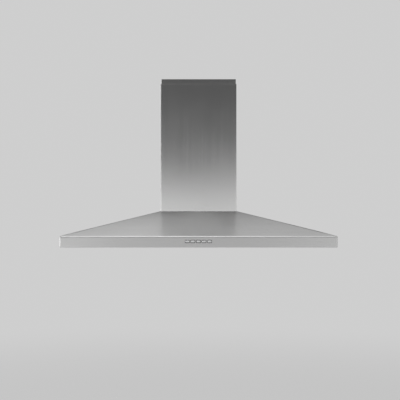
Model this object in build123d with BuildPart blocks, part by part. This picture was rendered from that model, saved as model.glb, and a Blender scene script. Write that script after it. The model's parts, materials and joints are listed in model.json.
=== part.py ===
from build123d import *
import math
import os

# Wall-mounted chimney range hood, 90 cm wide, as separate pieces in their places at rest.
# Millimetres. The wall is the plane y = 0, the front faces -Y, X runs to the right and Z up.
# The origin is the centre of the four wall holes, on the rear face of the canopy's back plate.

os.makedirs("parts", exist_ok=True)

# ---------------------------------------------------------------- driving dimensions
hood_width = 898.0
hood_depth = 500.0
rim_height = 36.0
slope_rise = 77.5
chimney_width = 264.0
chimney_depth = 250.0
lower_chimney_height = 444.0
upper_show = 17.0  # how far the upper chimney stands out of the lower one at rest
sheet = 1.0
wall_hole_height = 50.0  # of the wall holes' centre above the rim's lower edge
wall_hole_radius = 4.0
wall_hole_span_x = 400.0
wall_hole_span_z = 50.0

button_count = 5
button_pitch = 18.0
filter_width = 258.0
filter_length = 318.0
filter_thickness = 10.0
filter_gap = 10.0
latch_travel = 5.0
duct_radius = 74.5
impeller_radius = 74.0
blade_count = 30

# ---------------------------------------------------------------- heights
base = -wall_hole_height
rim_top = base + rim_height
deck = rim_top + slope_rise
lower_top = deck + lower_chimney_height
upper_top = lower_top + upper_show

# ---------------------------------------------------------------- canopy
rim_corner = 6.0
hip_radius = 3.0
shoulder_radius = 4.5
rim_flange = 12.0
button_height = base + 19.5
aperture_size = (14.6, 9.2)
aperture_corner = 2.2
behind = 5.0  # the form runs on past the wall while it is hollowed, and is then cut at the wall


def hood_plan(height, width, depth, corner):
    """Rectangle from just behind the wall forwards, with its two front corners rounded."""
    with BuildSketch(Plane.XY.offset(height)) as outline:
        with Locations((0, (behind - depth) / 2)):
            Rectangle(width, depth + behind)
        fillet(outline.vertices().group_by(Axis.Y)[0], corner)
    return outline.sketch


with BuildPart() as canopy_shell:
    extrude(hood_plan(base, hood_width, hood_depth, rim_corner), amount=rim_height)
    loft(
        [
            hood_plan(rim_top, hood_width, hood_depth, rim_corner),
            hood_plan(deck, chimney_width, chimney_depth, hip_radius),
        ],
        ruled=True,
    )
    fillet(canopy_shell.edges().filter_by_position(Axis.Z, rim_top, rim_top), shoulder_radius)
    offset(amount=-sheet, openings=canopy_shell.faces().sort_by(Axis.Z)[0])
    # the top sheet stays as the chimney's seat, open for the blower
    with BuildSketch(Plane.XY.offset(deck)) as top_opening:
        with Locations((0, (behind + rim_flange - chimney_depth) / 2)):
            Rectangle(chimney_width - 2 * rim_flange, chimney_depth + behind - rim_flange)
    extrude(amount=-2 * sheet, mode=Mode.SUBTRACT)
    # flange turned in under the rim
    with BuildSketch(Plane.XY.offset(base)) as rim_seat:
        with Locations((0, (behind - hood_depth + sheet / 2) / 2)):
            Rectangle(hood_width - sheet, hood_depth + behind - sheet / 2)
        fillet(rim_seat.vertices().group_by(Axis.Y)[0], rim_corner)
        with Locations((0, (behind - hood_depth + rim_flange) / 2)):
            Rectangle(
                hood_width - 2 * rim_flange, hood_depth + behind - rim_flange, mode=Mode.SUBTRACT
            )
    extrude(amount=sheet)
    split(bisect_by=Plane.XZ, keep=Keep.TOP)
    with BuildSketch(Plane.XZ.offset(hood_depth)) as apertures:
        with Locations((0, button_height)):
            with GridLocations(button_pitch, 0, button_count, 1):
                RectangleRounded(*aperture_size, aperture_corner)
    extrude(amount=-3 * sheet, mode=Mode.SUBTRACT)
canopy_shell.part.label = "canopy_shell"
export_step(canopy_shell.part, "parts/canopy_shell.step")

# back plate: closes the canopy at the wall, inside the shell's edge
plate_thickness = 1.5
plate_gap = 0.35
side_slope = slope_rise / ((hood_width - chimney_width) / 2)
slope_sheet = sheet * math.hypot(1, side_slope)  # the sloped sheet, measured upright
plate_half = hood_width / 2 - sheet - plate_gap
plate_top = deck - 2 * sheet
plate_top_half = (hood_width / 2) - (plate_top + slope_sheet + plate_gap - rim_top) / side_slope
plate_shoulder = rim_top - slope_sheet - plate_gap

with BuildPart() as canopy_back:
    with BuildSketch(Plane.XZ) as back_outline:
        with BuildLine():
            Polyline(
                (-plate_half, base + sheet),
                (plate_half, base + sheet),
                (plate_half, plate_shoulder),
                (plate_top_half, plate_top),
                (-plate_top_half, plate_top),
                (-plate_half, plate_shoulder),
                close=True,
            )
        make_face()
        shoulders = back_outline.vertices().filter_by_position(Axis.Y, plate_shoulder, plate_shoulder)
        fillet(shoulders, shoulder_radius)
        with GridLocations(wall_hole_span_x, wall_hole_span_z, 2, 2):
            Circle(wall_hole_radius, mode=Mode.SUBTRACT)
    extrude(amount=plate_thickness)
canopy_back.part.label = "canopy_back"
export_step(canopy_back.part, "parts/canopy_back.step")

# ---------------------------------------------------------------- blower box and its seat
box_width = 236.0
box_depth = 214.0
box_y = -125.0
box_lip = 11.0
gasket_thickness = 2.0
deck_plate_thickness = 2.0
seat_level = deck - sheet
box_floor = seat_level + gasket_thickness
bolt_radius = 2.2
bolt_span_x = box_width - box_lip
bolt_span_y = box_depth - box_lip
fan_y = -134.0
fan_z = box_floor + 110.0
mouth_height = 118.0  # of the scroll's outlet above the fan's axis
box_top = fan_z + mouth_height
box_inner = (box_width - 2 * box_lip, box_depth - 2 * box_lip)


def seat_ring(level):
    """The rectangle that the blower box stands on, open inside its turned-in lip."""
    with BuildSketch(Plane.XY.offset(level)) as ring:
        with Locations((0, box_y)):
            Rectangle(box_width, box_depth)
            Rectangle(*box_inner, mode=Mode.SUBTRACT)
            with GridLocations(bolt_span_x, bolt_span_y, 2, 2):
                Circle(bolt_radius, mode=Mode.SUBTRACT)
    return ring.sketch


with BuildPart() as deck_plate:
    plate_depth = chimney_depth - sheet - plate_thickness
    with BuildSketch(Plane.XY.offset(seat_level)) as deck_outline:
        with Locations((0, -plate_thickness - plate_depth / 2)):
            Rectangle(chimney_width - 2 * sheet, plate_depth)
        with Locations((0, box_y)):
            Rectangle(*box_inner, mode=Mode.SUBTRACT)
            with GridLocations(bolt_span_x, bolt_span_y, 2, 2):
                Circle(bolt_radius, mode=Mode.SUBTRACT)
    extrude(amount=-deck_plate_thickness)
deck_plate.part.label = "deck_plate"
export_step(deck_plate.part, "parts/deck_plate.step")

with BuildPart() as blower_gasket:
    extrude(seat_ring(seat_level), amount=gasket_thickness)
blower_gasket.part.label = "blower_gasket"
export_step(blower_gasket.part, "parts/blower_gasket.step")

# ---------------------------------------------------------------- fan scroll
# The volute is drawn with quarter arcs about the corners of a small square, each arc's radius
# larger than the last one's by the square's side.
volute_step = 9.0
volute_radius = 82.0
volute_wall = 2.0
scroll_half_width = 58.0
inlet_radius = 64.0
mouth_front = -volute_step / 2 + volute_radius * math.cos(math.radians(112))
mouth_rear = volute_step / 2 + volute_radius + 2 * volute_step
mouth_y = fan_y + (mouth_front + mouth_rear) / 2
mouth_length = mouth_rear - mouth_front
fan_plane = Plane(origin=(0, fan_y, fan_z), x_dir=(0, 1, 0), z_dir=(1, 0, 0))
fan_axis = Axis((0, fan_y, fan_z), (1, 0, 0))


def volute(inset, top):
    """Side view of the volute about the fan's axis, drawn in from its outside by inset."""
    low = -volute_step / 2
    high = volute_step / 2
    left = mouth_front + inset
    first_radius = volute_radius - inset
    tongue = math.degrees(math.acos((left - low) / first_radius))
    with BuildSketch(Plane.XY, mode=Mode.PRIVATE) as outline:
        with BuildLine():
            front = CenterArc((low, low), first_radius, tongue, 180 - tongue)
            bottom = CenterArc((high, low), first_radius + volute_step, 180, 90)
            rear = CenterArc((high, high), first_radius + 2 * volute_step, 270, 90)
            Polyline(rear @ 1, (mouth_rear - inset, top), (left, top), front @ 0)
        make_face()
    return outline.sketch


for scroll_name, side in (("scroll_left", -1), ("scroll_right", 1)):
    with BuildPart() as scroll:
        with BuildSketch(fan_plane):
            add(volute(0, mouth_height))
        extrude(amount=side * scroll_half_width)
        with BuildSketch(fan_plane):
            add(volute(volute_wall, mouth_height + volute_wall))
        extrude(amount=side * (scroll_half_width - volute_wall), mode=Mode.SUBTRACT)
        with BuildSketch(fan_plane.offset(side * (scroll_half_width - volute_wall))):
            Circle(inlet_radius + volute_wall)
        extrude(amount=-side * volute_wall)
        with BuildSketch(fan_plane.offset(side * scroll_half_width)):
            Circle(inlet_radius)
        extrude(amount=-side * 3 * volute_wall, mode=Mode.SUBTRACT)
        inlet_edge = (
            scroll.edges()
            .filter_by(GeomType.CIRCLE)
            .filter_by(lambda edge: abs(edge.radius - inlet_radius) < 0.01)
            .sort_by(Axis.X)
        )
        fillet(inlet_edge[-1 if side > 0 else 0], volute_wall * 1.5)
    scroll.part.label = scroll_name
    export_step(scroll.part, f"parts/{scroll_name}.step")

screw_span = (136.0, 153.0)
screw_radius = 2.0
screw_play = 0.1
gland_place = (100.0, -206.0)
gland_radius = 8.0
gland_bore = 4.3
gland_thread = 5.8  # radius of the neck that goes through the box
gland_hex_radius = 9.5
box_corner = 3.0

with BuildPart() as blower_box:
    with BuildSketch(Plane.XY.offset(box_floor)):
        with Locations((0, box_y)):
            RectangleRounded(box_width, box_depth, box_corner)
    extrude(amount=box_top - box_floor)
    offset(amount=-sheet, openings=blower_box.faces().sort_by(Axis.Z)[0])
    with BuildSketch(Plane.XY.offset(box_floor)):
        with Locations((0, box_y)):
            RectangleRounded(box_width - sheet, box_depth - sheet, box_corner)
            Rectangle(*box_inner, mode=Mode.SUBTRACT)
            with GridLocations(bolt_span_x, bolt_span_y, 2, 2):
                Circle(bolt_radius, mode=Mode.SUBTRACT)
    extrude(amount=sheet)
    with BuildSketch(Plane.XY.offset(box_top)):
        with Locations((0, mouth_y)):
            Rectangle(2 * scroll_half_width, mouth_length)
            with GridLocations(*screw_span, 2, 2):
                Circle(screw_radius)
        with Locations(gland_place):
            Circle(gland_thread)
    extrude(amount=-3 * sheet, mode=Mode.SUBTRACT)
blower_box.part.label = "blower_box"
export_step(blower_box.part, "parts/blower_box.step")

# ---------------------------------------------------------------- outlet collar and check valve
collar_plate = (150.0, 166.0)
collar_plate_thickness = 2.0
collar_plate_corner = 6.0
collar_height = 42.0
collar_wall = 2.0
collar_chamfer = 0.8
collar_bore = duct_radius - collar_wall
flap_level = box_top + 14.0
flap_thickness = 1.2
flap_gap = 0.7  # round the closed flaps
flap_radius = collar_bore - flap_gap
flap_edge = 4.0  # from the hinge line to the straight edge of each half disc
rod_radius = 1.5
rod_end_gap = 0.5
boss_radius = 2.5
boss_length = 4.0
knuckle_radius = 2.6
knuckle_play = 0.08
knuckle_bore = rod_radius + knuckle_play
knuckle_width = 18.0
ledge_width = 2.5
ledge_gap = 0.3

with BuildPart() as outlet_collar:
    with BuildSketch(Plane.XY.offset(box_top)):
        with Locations((0, mouth_y)):
            RectangleRounded(*collar_plate, collar_plate_corner)
            with GridLocations(*screw_span, 2, 2):
                Circle(screw_radius, mode=Mode.SUBTRACT)
    extrude(amount=collar_plate_thickness)
    with BuildSketch(Plane.XY.offset(box_top)):
        with Locations((0, mouth_y)):
            Circle(duct_radius)
    extrude(amount=collar_height)
    chamfer(outlet_collar.edges().group_by(Axis.Z)[-1], collar_chamfer)
    with BuildSketch(Plane.XY.offset(box_top)):
        with Locations((0, mouth_y)):
            Circle(collar_bore)
    extrude(amount=collar_height, mode=Mode.SUBTRACT)
    with BuildSketch(Plane.XY.offset(flap_level - flap_thickness / 2 - ledge_gap)):
        with Locations((0, mouth_y)):
            Circle(collar_bore + collar_wall / 2)
            Circle(collar_bore - ledge_width, mode=Mode.SUBTRACT)
    extrude(amount=-collar_wall)
    for end in (-1, 1):
        with BuildSketch(Plane.YZ.offset(end * (collar_bore - boss_length))):
            with Locations((mouth_y, flap_level)):
                Circle(boss_radius)
        extrude(amount=end * (boss_length + collar_wall / 2))
    with BuildSketch(Plane.YZ):
        with Locations((mouth_y, flap_level)):
            Circle(rod_radius)
    extrude(amount=collar_bore, both=True, mode=Mode.SUBTRACT)
outlet_collar.part.label = "outlet_collar"
export_step(outlet_collar.part, "parts/outlet_collar.step")

with BuildPart() as flap_rod:
    with BuildSketch(Plane.YZ):
        with Locations((mouth_y, flap_level)):
            Circle(rod_radius)
    extrude(amount=collar_bore - rod_end_gap, both=True)
flap_rod.part.label = "flap_rod"
export_step(flap_rod.part, "parts/flap_rod.step")

# each flap turns on two knuckles, which lie between those of the other flap
flap_places = {
    "damper_flap_front": (-1, (-50.0, 20.0)),
    "damper_flap_rear": (1, (-20.0, 50.0)),
}
for flap_name, (side, knuckles) in flap_places.items():
    with BuildPart() as flap:
        with BuildSketch(Plane.XY.offset(flap_level - flap_thickness / 2)):
            with Locations((0, mouth_y)):
                Circle(flap_radius)
            with Locations((0, mouth_y + side * (flap_edge - flap_radius))):
                Rectangle(2 * flap_radius, 2 * flap_radius, mode=Mode.SUBTRACT)
            with Locations(*[(place, mouth_y + side * flap_edge / 2) for place in knuckles]):
                Rectangle(knuckle_width, flap_edge)
        extrude(amount=flap_thickness)
        for place in knuckles:
            with BuildSketch(Plane.YZ.offset(place)):
                with Locations((mouth_y, flap_level)):
                    Circle(knuckle_radius)
            extrude(amount=knuckle_width / 2, both=True)
            with BuildSketch(Plane.YZ.offset(place)):
                with Locations((mouth_y, flap_level)):
                    Circle(knuckle_bore)
            extrude(amount=knuckle_width, both=True, mode=Mode.SUBTRACT)
    flap.part.label = flap_name
    export_step(flap.part, f"parts/{flap_name}.step")

head_radius = 3.8
head_height = 2.2
head_chamfer = 0.8
screw_length = 8.0
nut_radius = 4.6
nut_height = 3.0
bolt_length = 9.0
with BuildPart() as collar_screws:
    with BuildSketch(Plane.XY.offset(box_top + collar_plate_thickness)):
        with Locations((0, mouth_y)):
            with GridLocations(*screw_span, 2, 2):
                Circle(head_radius)
    extrude(amount=head_height)
    chamfer(collar_screws.edges().group_by(Axis.Z)[-1], head_chamfer)
    with BuildSketch(Plane.XY.offset(box_top + collar_plate_thickness)):
        with Locations((0, mouth_y)):
            with GridLocations(*screw_span, 2, 2):
                Circle(screw_radius - screw_play)
    extrude(amount=-screw_length)
collar_screws.part.label = "collar_screws"
export_step(collar_screws.part, "parts/collar_screws.step")

with BuildPart() as blower_bolts:
    with BuildSketch(Plane.XY.offset(seat_level - deck_plate_thickness)):
        with Locations((0, box_y)):
            with GridLocations(bolt_span_x, bolt_span_y, 2, 2):
                RegularPolygon(nut_radius, 6)
    extrude(amount=-nut_height)
    with BuildSketch(Plane.XY.offset(seat_level - deck_plate_thickness)):
        with Locations((0, box_y)):
            with GridLocations(bolt_span_x, bolt_span_y, 2, 2):
                Circle(bolt_radius - screw_play)
    extrude(amount=bolt_length)
blower_bolts.part.label = "blower_bolts"
export_step(blower_bolts.part, "parts/blower_bolts.step")

gland_height = 22.0
gland_hex_height = 5.0
gland_dome = 2.5
with BuildPart() as cable_gland:
    with BuildSketch(Plane.XY.offset(box_top)):
        with Locations(gland_place):
            RegularPolygon(gland_hex_radius, 6)
    extrude(amount=gland_hex_height)
    with BuildSketch(Plane.XY.offset(box_top + gland_hex_height)):
        with Locations(gland_place):
            Circle(gland_radius)
    extrude(amount=gland_height - gland_hex_height)
    fillet(cable_gland.edges().group_by(Axis.Z)[-1], gland_dome)
    with BuildSketch(Plane.XY.offset(box_top)):
        with Locations(gland_place):
            Circle(gland_bore)
    extrude(amount=gland_height, mode=Mode.SUBTRACT)
cable_gland.part.label = "cable_gland"
export_step(cable_gland.part, "parts/cable_gland.step")

# ---------------------------------------------------------------- impeller and motor
impeller_half = 50.0
disc_thickness = 3.0
ring_width = 4.0
blade_root = 62.0
ring_bore = blade_root + 4.0
blade_belly = (68.5, 3.4)
blade_tip = (impeller_radius - 0.6, 9.6)
blade_turn = 1.1  # blade thickness as a turn in degrees
shaft_radius = 4.0
hub_radius = 14.0
hub_length = 12.0
shaft_fit = 0.02
motor_radius = 46.0
bell_radius = 40.0
bell_face = 30.0
bell_length = 14.0
bell_dome = 6.0
motor_end = -scroll_half_width
motor_face = -6.0
shaft_start = motor_end + 10.0
shaft_end = hub_length + 2.0
shaft_chamfer = 0.6
bearing_start = motor_end + 8.0
bearing_play = 0.06

with BuildSketch(Plane.XY) as blade:
    root = Vector(blade_root, 0)
    belly = Vector(*blade_belly)
    tip = Vector(*blade_tip)
    with BuildLine():
        inner = ThreePointArc(root, belly, tip)
        outer = ThreePointArc(*[point.rotate(Axis.Z, blade_turn) for point in (root, belly, tip)])
        Line(inner @ 0, outer @ 0)
        Line(inner @ 1, outer @ 1)
    make_face()

with BuildPart() as impeller:
    with BuildSketch(fan_plane.offset(-impeller_half)):
        with PolarLocations(0, blade_count):
            add(blade.sketch)
    extrude(amount=2 * impeller_half)
    with BuildSketch(fan_plane.offset(-disc_thickness / 2)):
        Circle(impeller_radius)
    extrude(amount=disc_thickness)
    for end in (-impeller_half, impeller_half - ring_width):
        with BuildSketch(fan_plane.offset(end)):
            Circle(impeller_radius)
            Circle(ring_bore, mode=Mode.SUBTRACT)
        extrude(amount=ring_width)
    with BuildSketch(fan_plane):
        Circle(hub_radius)
    extrude(amount=hub_length)
    with BuildSketch(fan_plane.offset(-disc_thickness)):
        Circle(shaft_radius + shaft_fit)
    extrude(amount=hub_length + 2 * disc_thickness, mode=Mode.SUBTRACT)
impeller.part.label = "impeller"
export_step(impeller.part, "parts/impeller.step")

with BuildPart() as motor_shaft:
    with BuildSketch(fan_plane.offset(shaft_start)):
        Circle(shaft_radius)
    extrude(amount=shaft_end - shaft_start)
    chamfer(motor_shaft.edges().group_by(Axis.X)[-1], shaft_chamfer)
motor_shaft.part.label = "motor_shaft"
export_step(motor_shaft.part, "parts/motor_shaft.step")

# the motor: a wound stack between two domed end bells
with BuildPart() as motor:
    with BuildSketch(Plane.XZ.offset(-fan_y)) as half_section:
        with BuildLine():
            Polyline(
                (motor_end, fan_z),
                (motor_end, fan_z + bell_face),
                (motor_end + bell_dome, fan_z + bell_radius),
                (motor_end + bell_length, fan_z + bell_radius),
                (motor_end + bell_length, fan_z + motor_radius),
                (motor_face - bell_length, fan_z + motor_radius),
                (motor_face - bell_length, fan_z + bell_radius),
                (motor_face - bell_dome, fan_z + bell_radius),
                (motor_face, fan_z + bell_face),
                (motor_face, fan_z),
                close=True,
            )
        make_face()
    revolve(axis=fan_axis)
    with BuildSketch(fan_plane.offset(bearing_start)):
        Circle(shaft_radius + bearing_play)
    extrude(amount=-motor_end, mode=Mode.SUBTRACT)
motor.part.label = "motor"
export_step(motor.part, "parts/motor.step")

bracket_arm = 11.0
bracket_outer = inlet_radius + 12.0
bracket_inner = inlet_radius + 3.5
arm_length = inlet_radius - 10.0
arm_middle = (inlet_radius + 20.0) / 2
with BuildPart() as motor_bracket:
    with BuildSketch(fan_plane.offset(motor_end)):
        Circle(bracket_outer)
        Circle(bracket_inner, mode=Mode.SUBTRACT)
        Circle(bell_face)
        with PolarLocations(arm_middle, 3, start_angle=90):
            Rectangle(arm_length, bracket_arm)
    extrude(amount=-volute_wall)
motor_bracket.part.label = "motor_bracket"
export_step(motor_bracket.part, "parts/motor_bracket.step")

# ---------------------------------------------------------------- underside pan
pan_floor = base + sheet
well_depth = 13.0
well_rear = -83.0
well_front = -405.0
well_half = 404.0
filter_pitch = filter_width + filter_gap
filter_recess = 3.7  # of the filters above the rim's lower edge
filter_mid = base + filter_recess + filter_thickness / 2
ledge_level = pan_floor + well_depth
lamp_x = 240.0
lamp_y = -452.0
lamp_hole = 32.0
nose_radius = filter_thickness / 2
filter_play = 1.5  # between the filters and the well's rear wall
filter_rear = well_rear - filter_play
filter_front = filter_rear - filter_length
pin_y = filter_rear - nose_radius
side_bar = 12.0
front_bar = 26.0
window_rear = filter_rear - side_bar
window_front = filter_front + front_bar
window_width = filter_width - 2 * side_bar
window_y = (window_rear + window_front) / 2
window_length = window_rear - window_front
tongue_width = 29.0
tongue_slot = (tongue_width + 3.0, 4.5)
filter_places = {"left": -filter_pitch, "middle": 0.0, "right": filter_pitch}
well_y = (well_rear + well_front) / 2
well_length = well_rear - well_front

with BuildPart() as underside_pan:
    pan_edge = sheet + 0.5
    pan_rear = plate_thickness + 0.3
    pan_depth = hood_depth - pan_edge - pan_rear
    with BuildSketch(Plane.XY.offset(pan_floor)) as pan_outline:
        with Locations((0, -pan_rear - pan_depth / 2)):
            Rectangle(hood_width - 2 * pan_edge, pan_depth)
        fillet(pan_outline.vertices().group_by(Axis.Y)[0], rim_corner)
        with Locations((0, well_y)):
            Rectangle(2 * well_half, well_length, mode=Mode.SUBTRACT)
        with Locations((-lamp_x, lamp_y), (lamp_x, lamp_y)):
            Circle(lamp_hole, mode=Mode.SUBTRACT)
    extrude(amount=sheet)
    with BuildSketch(Plane.XY.offset(pan_floor)):
        with Locations((0, well_y)):
            Rectangle(2 * (well_half + sheet), well_length + 2 * sheet)
            Rectangle(2 * well_half, well_length, mode=Mode.SUBTRACT)
    extrude(amount=well_depth)
    with BuildSketch(Plane.XY.offset(ledge_level)):
        with Locations((0, well_y)):
            Rectangle(2 * (well_half + sheet), well_length + 2 * sheet)
        with Locations((0, window_y)):
            with GridLocations(filter_pitch, 0, 3, 1):
                Rectangle(window_width, window_length, mode=Mode.SUBTRACT)
    extrude(amount=sheet)
    # slots for the latch tongues in the well's front wall
    with BuildSketch(Plane.XZ.offset(-well_front)):
        with Locations((0, filter_mid)):
            with GridLocations(filter_pitch, 0, 3, 1):
                Rectangle(*tongue_slot)
    extrude(amount=2 * sheet, mode=Mode.SUBTRACT)
underside_pan.part.label = "underside_pan"
export_step(underside_pan.part, "parts/underside_pan.step")

# ---------------------------------------------------------------- grease filters
pin_radius = 2.0
pin_length = 4.7
pin_clearance = 0.06
hanger_thickness = 4.0
groove_height = 8.0
groove_size = (window_width + 16.0, window_length + 8.0)
net_size = (window_width + 14.0, window_length + 6.0)
mesh_thickness = 2.0
mesh_columns = 5
mesh_rows = 11
mesh_open_share = 0.84  # of each diamond's width and height
pocket_size = (64.0, 16.0)
pocket_rear = filter_front + 18.0
pocket_front = pocket_rear - pocket_size[1]
pocket_y = (pocket_rear + pocket_front) / 2
rail_width = 68.0
rail_height = 2.8
latch_gap = 0.4
latch_length = pocket_size[1] - latch_travel - 2 * latch_gap
filter_floor = filter_mid - filter_thickness / 2
pocket_top = filter_mid + 2.0
tongue_height = 2.6
tongue_way = (tongue_width + 1.2, tongue_height + 0.8)
grip_play = 1.2
grip_stand = 1.5  # how far the grip stands out of the frame
grip_edge = 1.2
grip_slot = (44.0, 6.0)
grip_depth = 3.0
hanger_length = 11.0


def diamond_net(x):
    """Outline of the expanded metal: a sheet with interleaved rows of long diamond holes."""
    cell_width = window_width / mesh_columns
    row_pitch = window_length / (mesh_rows + 1)
    half_width = mesh_open_share * cell_width / 2
    half_height = mesh_open_share * row_pitch
    with BuildSketch(Plane.XY.offset(filter_mid - groove_height / 2)) as net:
        with Locations((x, window_y)):
            Rectangle(*net_size)
        for row in range(mesh_rows):
            y = window_y + (row - (mesh_rows - 1) / 2) * row_pitch
            with Locations((x, y)):
                with GridLocations(cell_width, 0, mesh_columns - row % 2, 1):
                    Polygon(
                        (-half_width, 0),
                        (0, -half_height),
                        (half_width, 0),
                        (0, half_height),
                        mode=Mode.SUBTRACT,
                    )
    return net.sketch


for side, x in filter_places.items():
    with BuildPart() as filter_frame:
        # side view with its rounded rear nose, drawn across the whole width
        with BuildSketch(Plane.YZ.offset(x)):
            with Locations(((filter_front + pin_y) / 2, filter_mid)):
                Rectangle(pin_y - filter_front, filter_thickness)
            with Locations((pin_y, filter_mid)):
                Circle(nose_radius)
        extrude(amount=filter_width / 2, both=True)
        with BuildSketch(Plane.XY.offset(filter_floor)):
            with Locations((x, window_y)):
                Rectangle(window_width, window_length)
        extrude(amount=filter_thickness, mode=Mode.SUBTRACT)
        # the channel's groove, which holds the mesh
        with BuildSketch(Plane.XY.offset(filter_mid - groove_height / 2)):
            with Locations((x, window_y)):
                Rectangle(*groove_size)
        extrude(amount=groove_height, mode=Mode.SUBTRACT)
        with BuildSketch(Plane.YZ.offset(x)):
            with Locations((pin_y, filter_mid)):
                Circle(pin_radius)
        extrude(amount=filter_width / 2 + pin_length, both=True)
        # pocket, rails and tongue slot of the latch
        with BuildSketch(Plane.XY.offset(filter_floor)):
            with Locations((x, pocket_y)):
                Rectangle(*pocket_size)
        extrude(amount=pocket_top - filter_floor, mode=Mode.SUBTRACT)
        with BuildSketch(Plane.XY.offset(filter_mid - rail_height / 2)):
            with Locations((x, pocket_y)):
                Rectangle(rail_width, pocket_size[1])
        extrude(amount=rail_height, mode=Mode.SUBTRACT)
        with BuildSketch(Plane.XZ.offset(-filter_front)):
            with Locations((x, filter_mid)):
                Rectangle(*tongue_way)
        extrude(amount=-(pocket_front - filter_front), mode=Mode.SUBTRACT)
    filter_frame.part.label = f"filter_frame_{side}"
    export_step(filter_frame.part, f"parts/filter_frame_{side}.step")

    with BuildPart() as filter_mesh:
        extrude(diamond_net(x), amount=mesh_thickness)
    filter_mesh.part.label = f"filter_mesh_{side}"
    export_step(filter_mesh.part, f"parts/filter_mesh_{side}.step")

    latch_front = pocket_front + latch_gap
    latch_y = latch_front + latch_length / 2
    with BuildPart() as filter_latch:
        grip_floor = filter_floor - grip_stand
        with BuildSketch(Plane.XY.offset(grip_floor)):
            with Locations((x, latch_y)):
                Rectangle(pocket_size[0] - grip_play, latch_length)
        extrude(amount=pocket_top - latch_gap - grip_floor)
        fillet(filter_latch.edges().group_by(Axis.Z)[0], grip_edge)
        with BuildSketch(Plane.XY.offset(grip_floor)):
            with Locations((x, latch_y)):
                SlotOverall(*grip_slot)
        extrude(amount=grip_depth, mode=Mode.SUBTRACT)
        with BuildSketch(Plane.XY.offset(filter_mid - rail_height / 2 + latch_gap)):
            with Locations((x, latch_y)):
                Rectangle(rail_width - grip_play, latch_length)
        extrude(amount=rail_height - 2 * latch_gap)
        with BuildSketch(Plane.XZ.offset(-latch_front)):
            with Locations((x, filter_mid)):
                Rectangle(tongue_width, tongue_height)
        extrude(amount=latch_front - (well_front + latch_gap))
    filter_latch.part.label = f"filter_latch_{side}"
    export_step(filter_latch.part, f"parts/filter_latch_{side}.step")

with BuildPart() as filter_hangers:
    hanger_top = ledge_level
    hanger_foot = filter_floor + 1.0
    with BuildSketch(Plane.YZ) as hanger_side:
        with Locations((pin_y, (hanger_foot + hanger_top) / 2)):
            Rectangle(hanger_length, hanger_top - hanger_foot)
        with Locations((pin_y, filter_mid)):
            Circle(pin_radius + pin_clearance, mode=Mode.SUBTRACT)
    extrude(amount=hanger_thickness / 2, both=True)
hanger_places = [(place * filter_pitch / 2, 0, 0) for place in (-3, -1, 1, 3)]
hangers = Compound([Pos(*place) * filter_hangers.part for place in hanger_places])
hangers.label = "filter_hangers"
export_step(hangers, "parts/filter_hangers.step")

# ---------------------------------------------------------------- lamps
bezel_outer = 36.0
lens_radius = 29.0
lens_thickness = 2.5
lens_seat = base + 2.0
lens_lap = 2.0
lens_play = 0.1
bezel_edge = 1.0
bezel_collar = lamp_hole - 0.2
collar_top = base + 5.0  # of the bezel's collar, on which the can stands
can_height = 28.0
can_wall = 1.0
can_mouth = 28.0
can_waist = 24.0
can_crown = 10.0
can_flange = 31.5
bulb_radius = 4.0
bulb_tip = 3.5  # radius of the rounded lower end
bulb_length = 10.0
bulb_base_radius = 6.0
bulb_base_length = 6.0
spigot_radius = 3.2
spigot_level = collar_top + 6.0
spigot_start = 26.8  # from the lamp's axis
spigot_end = 33.0

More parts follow.
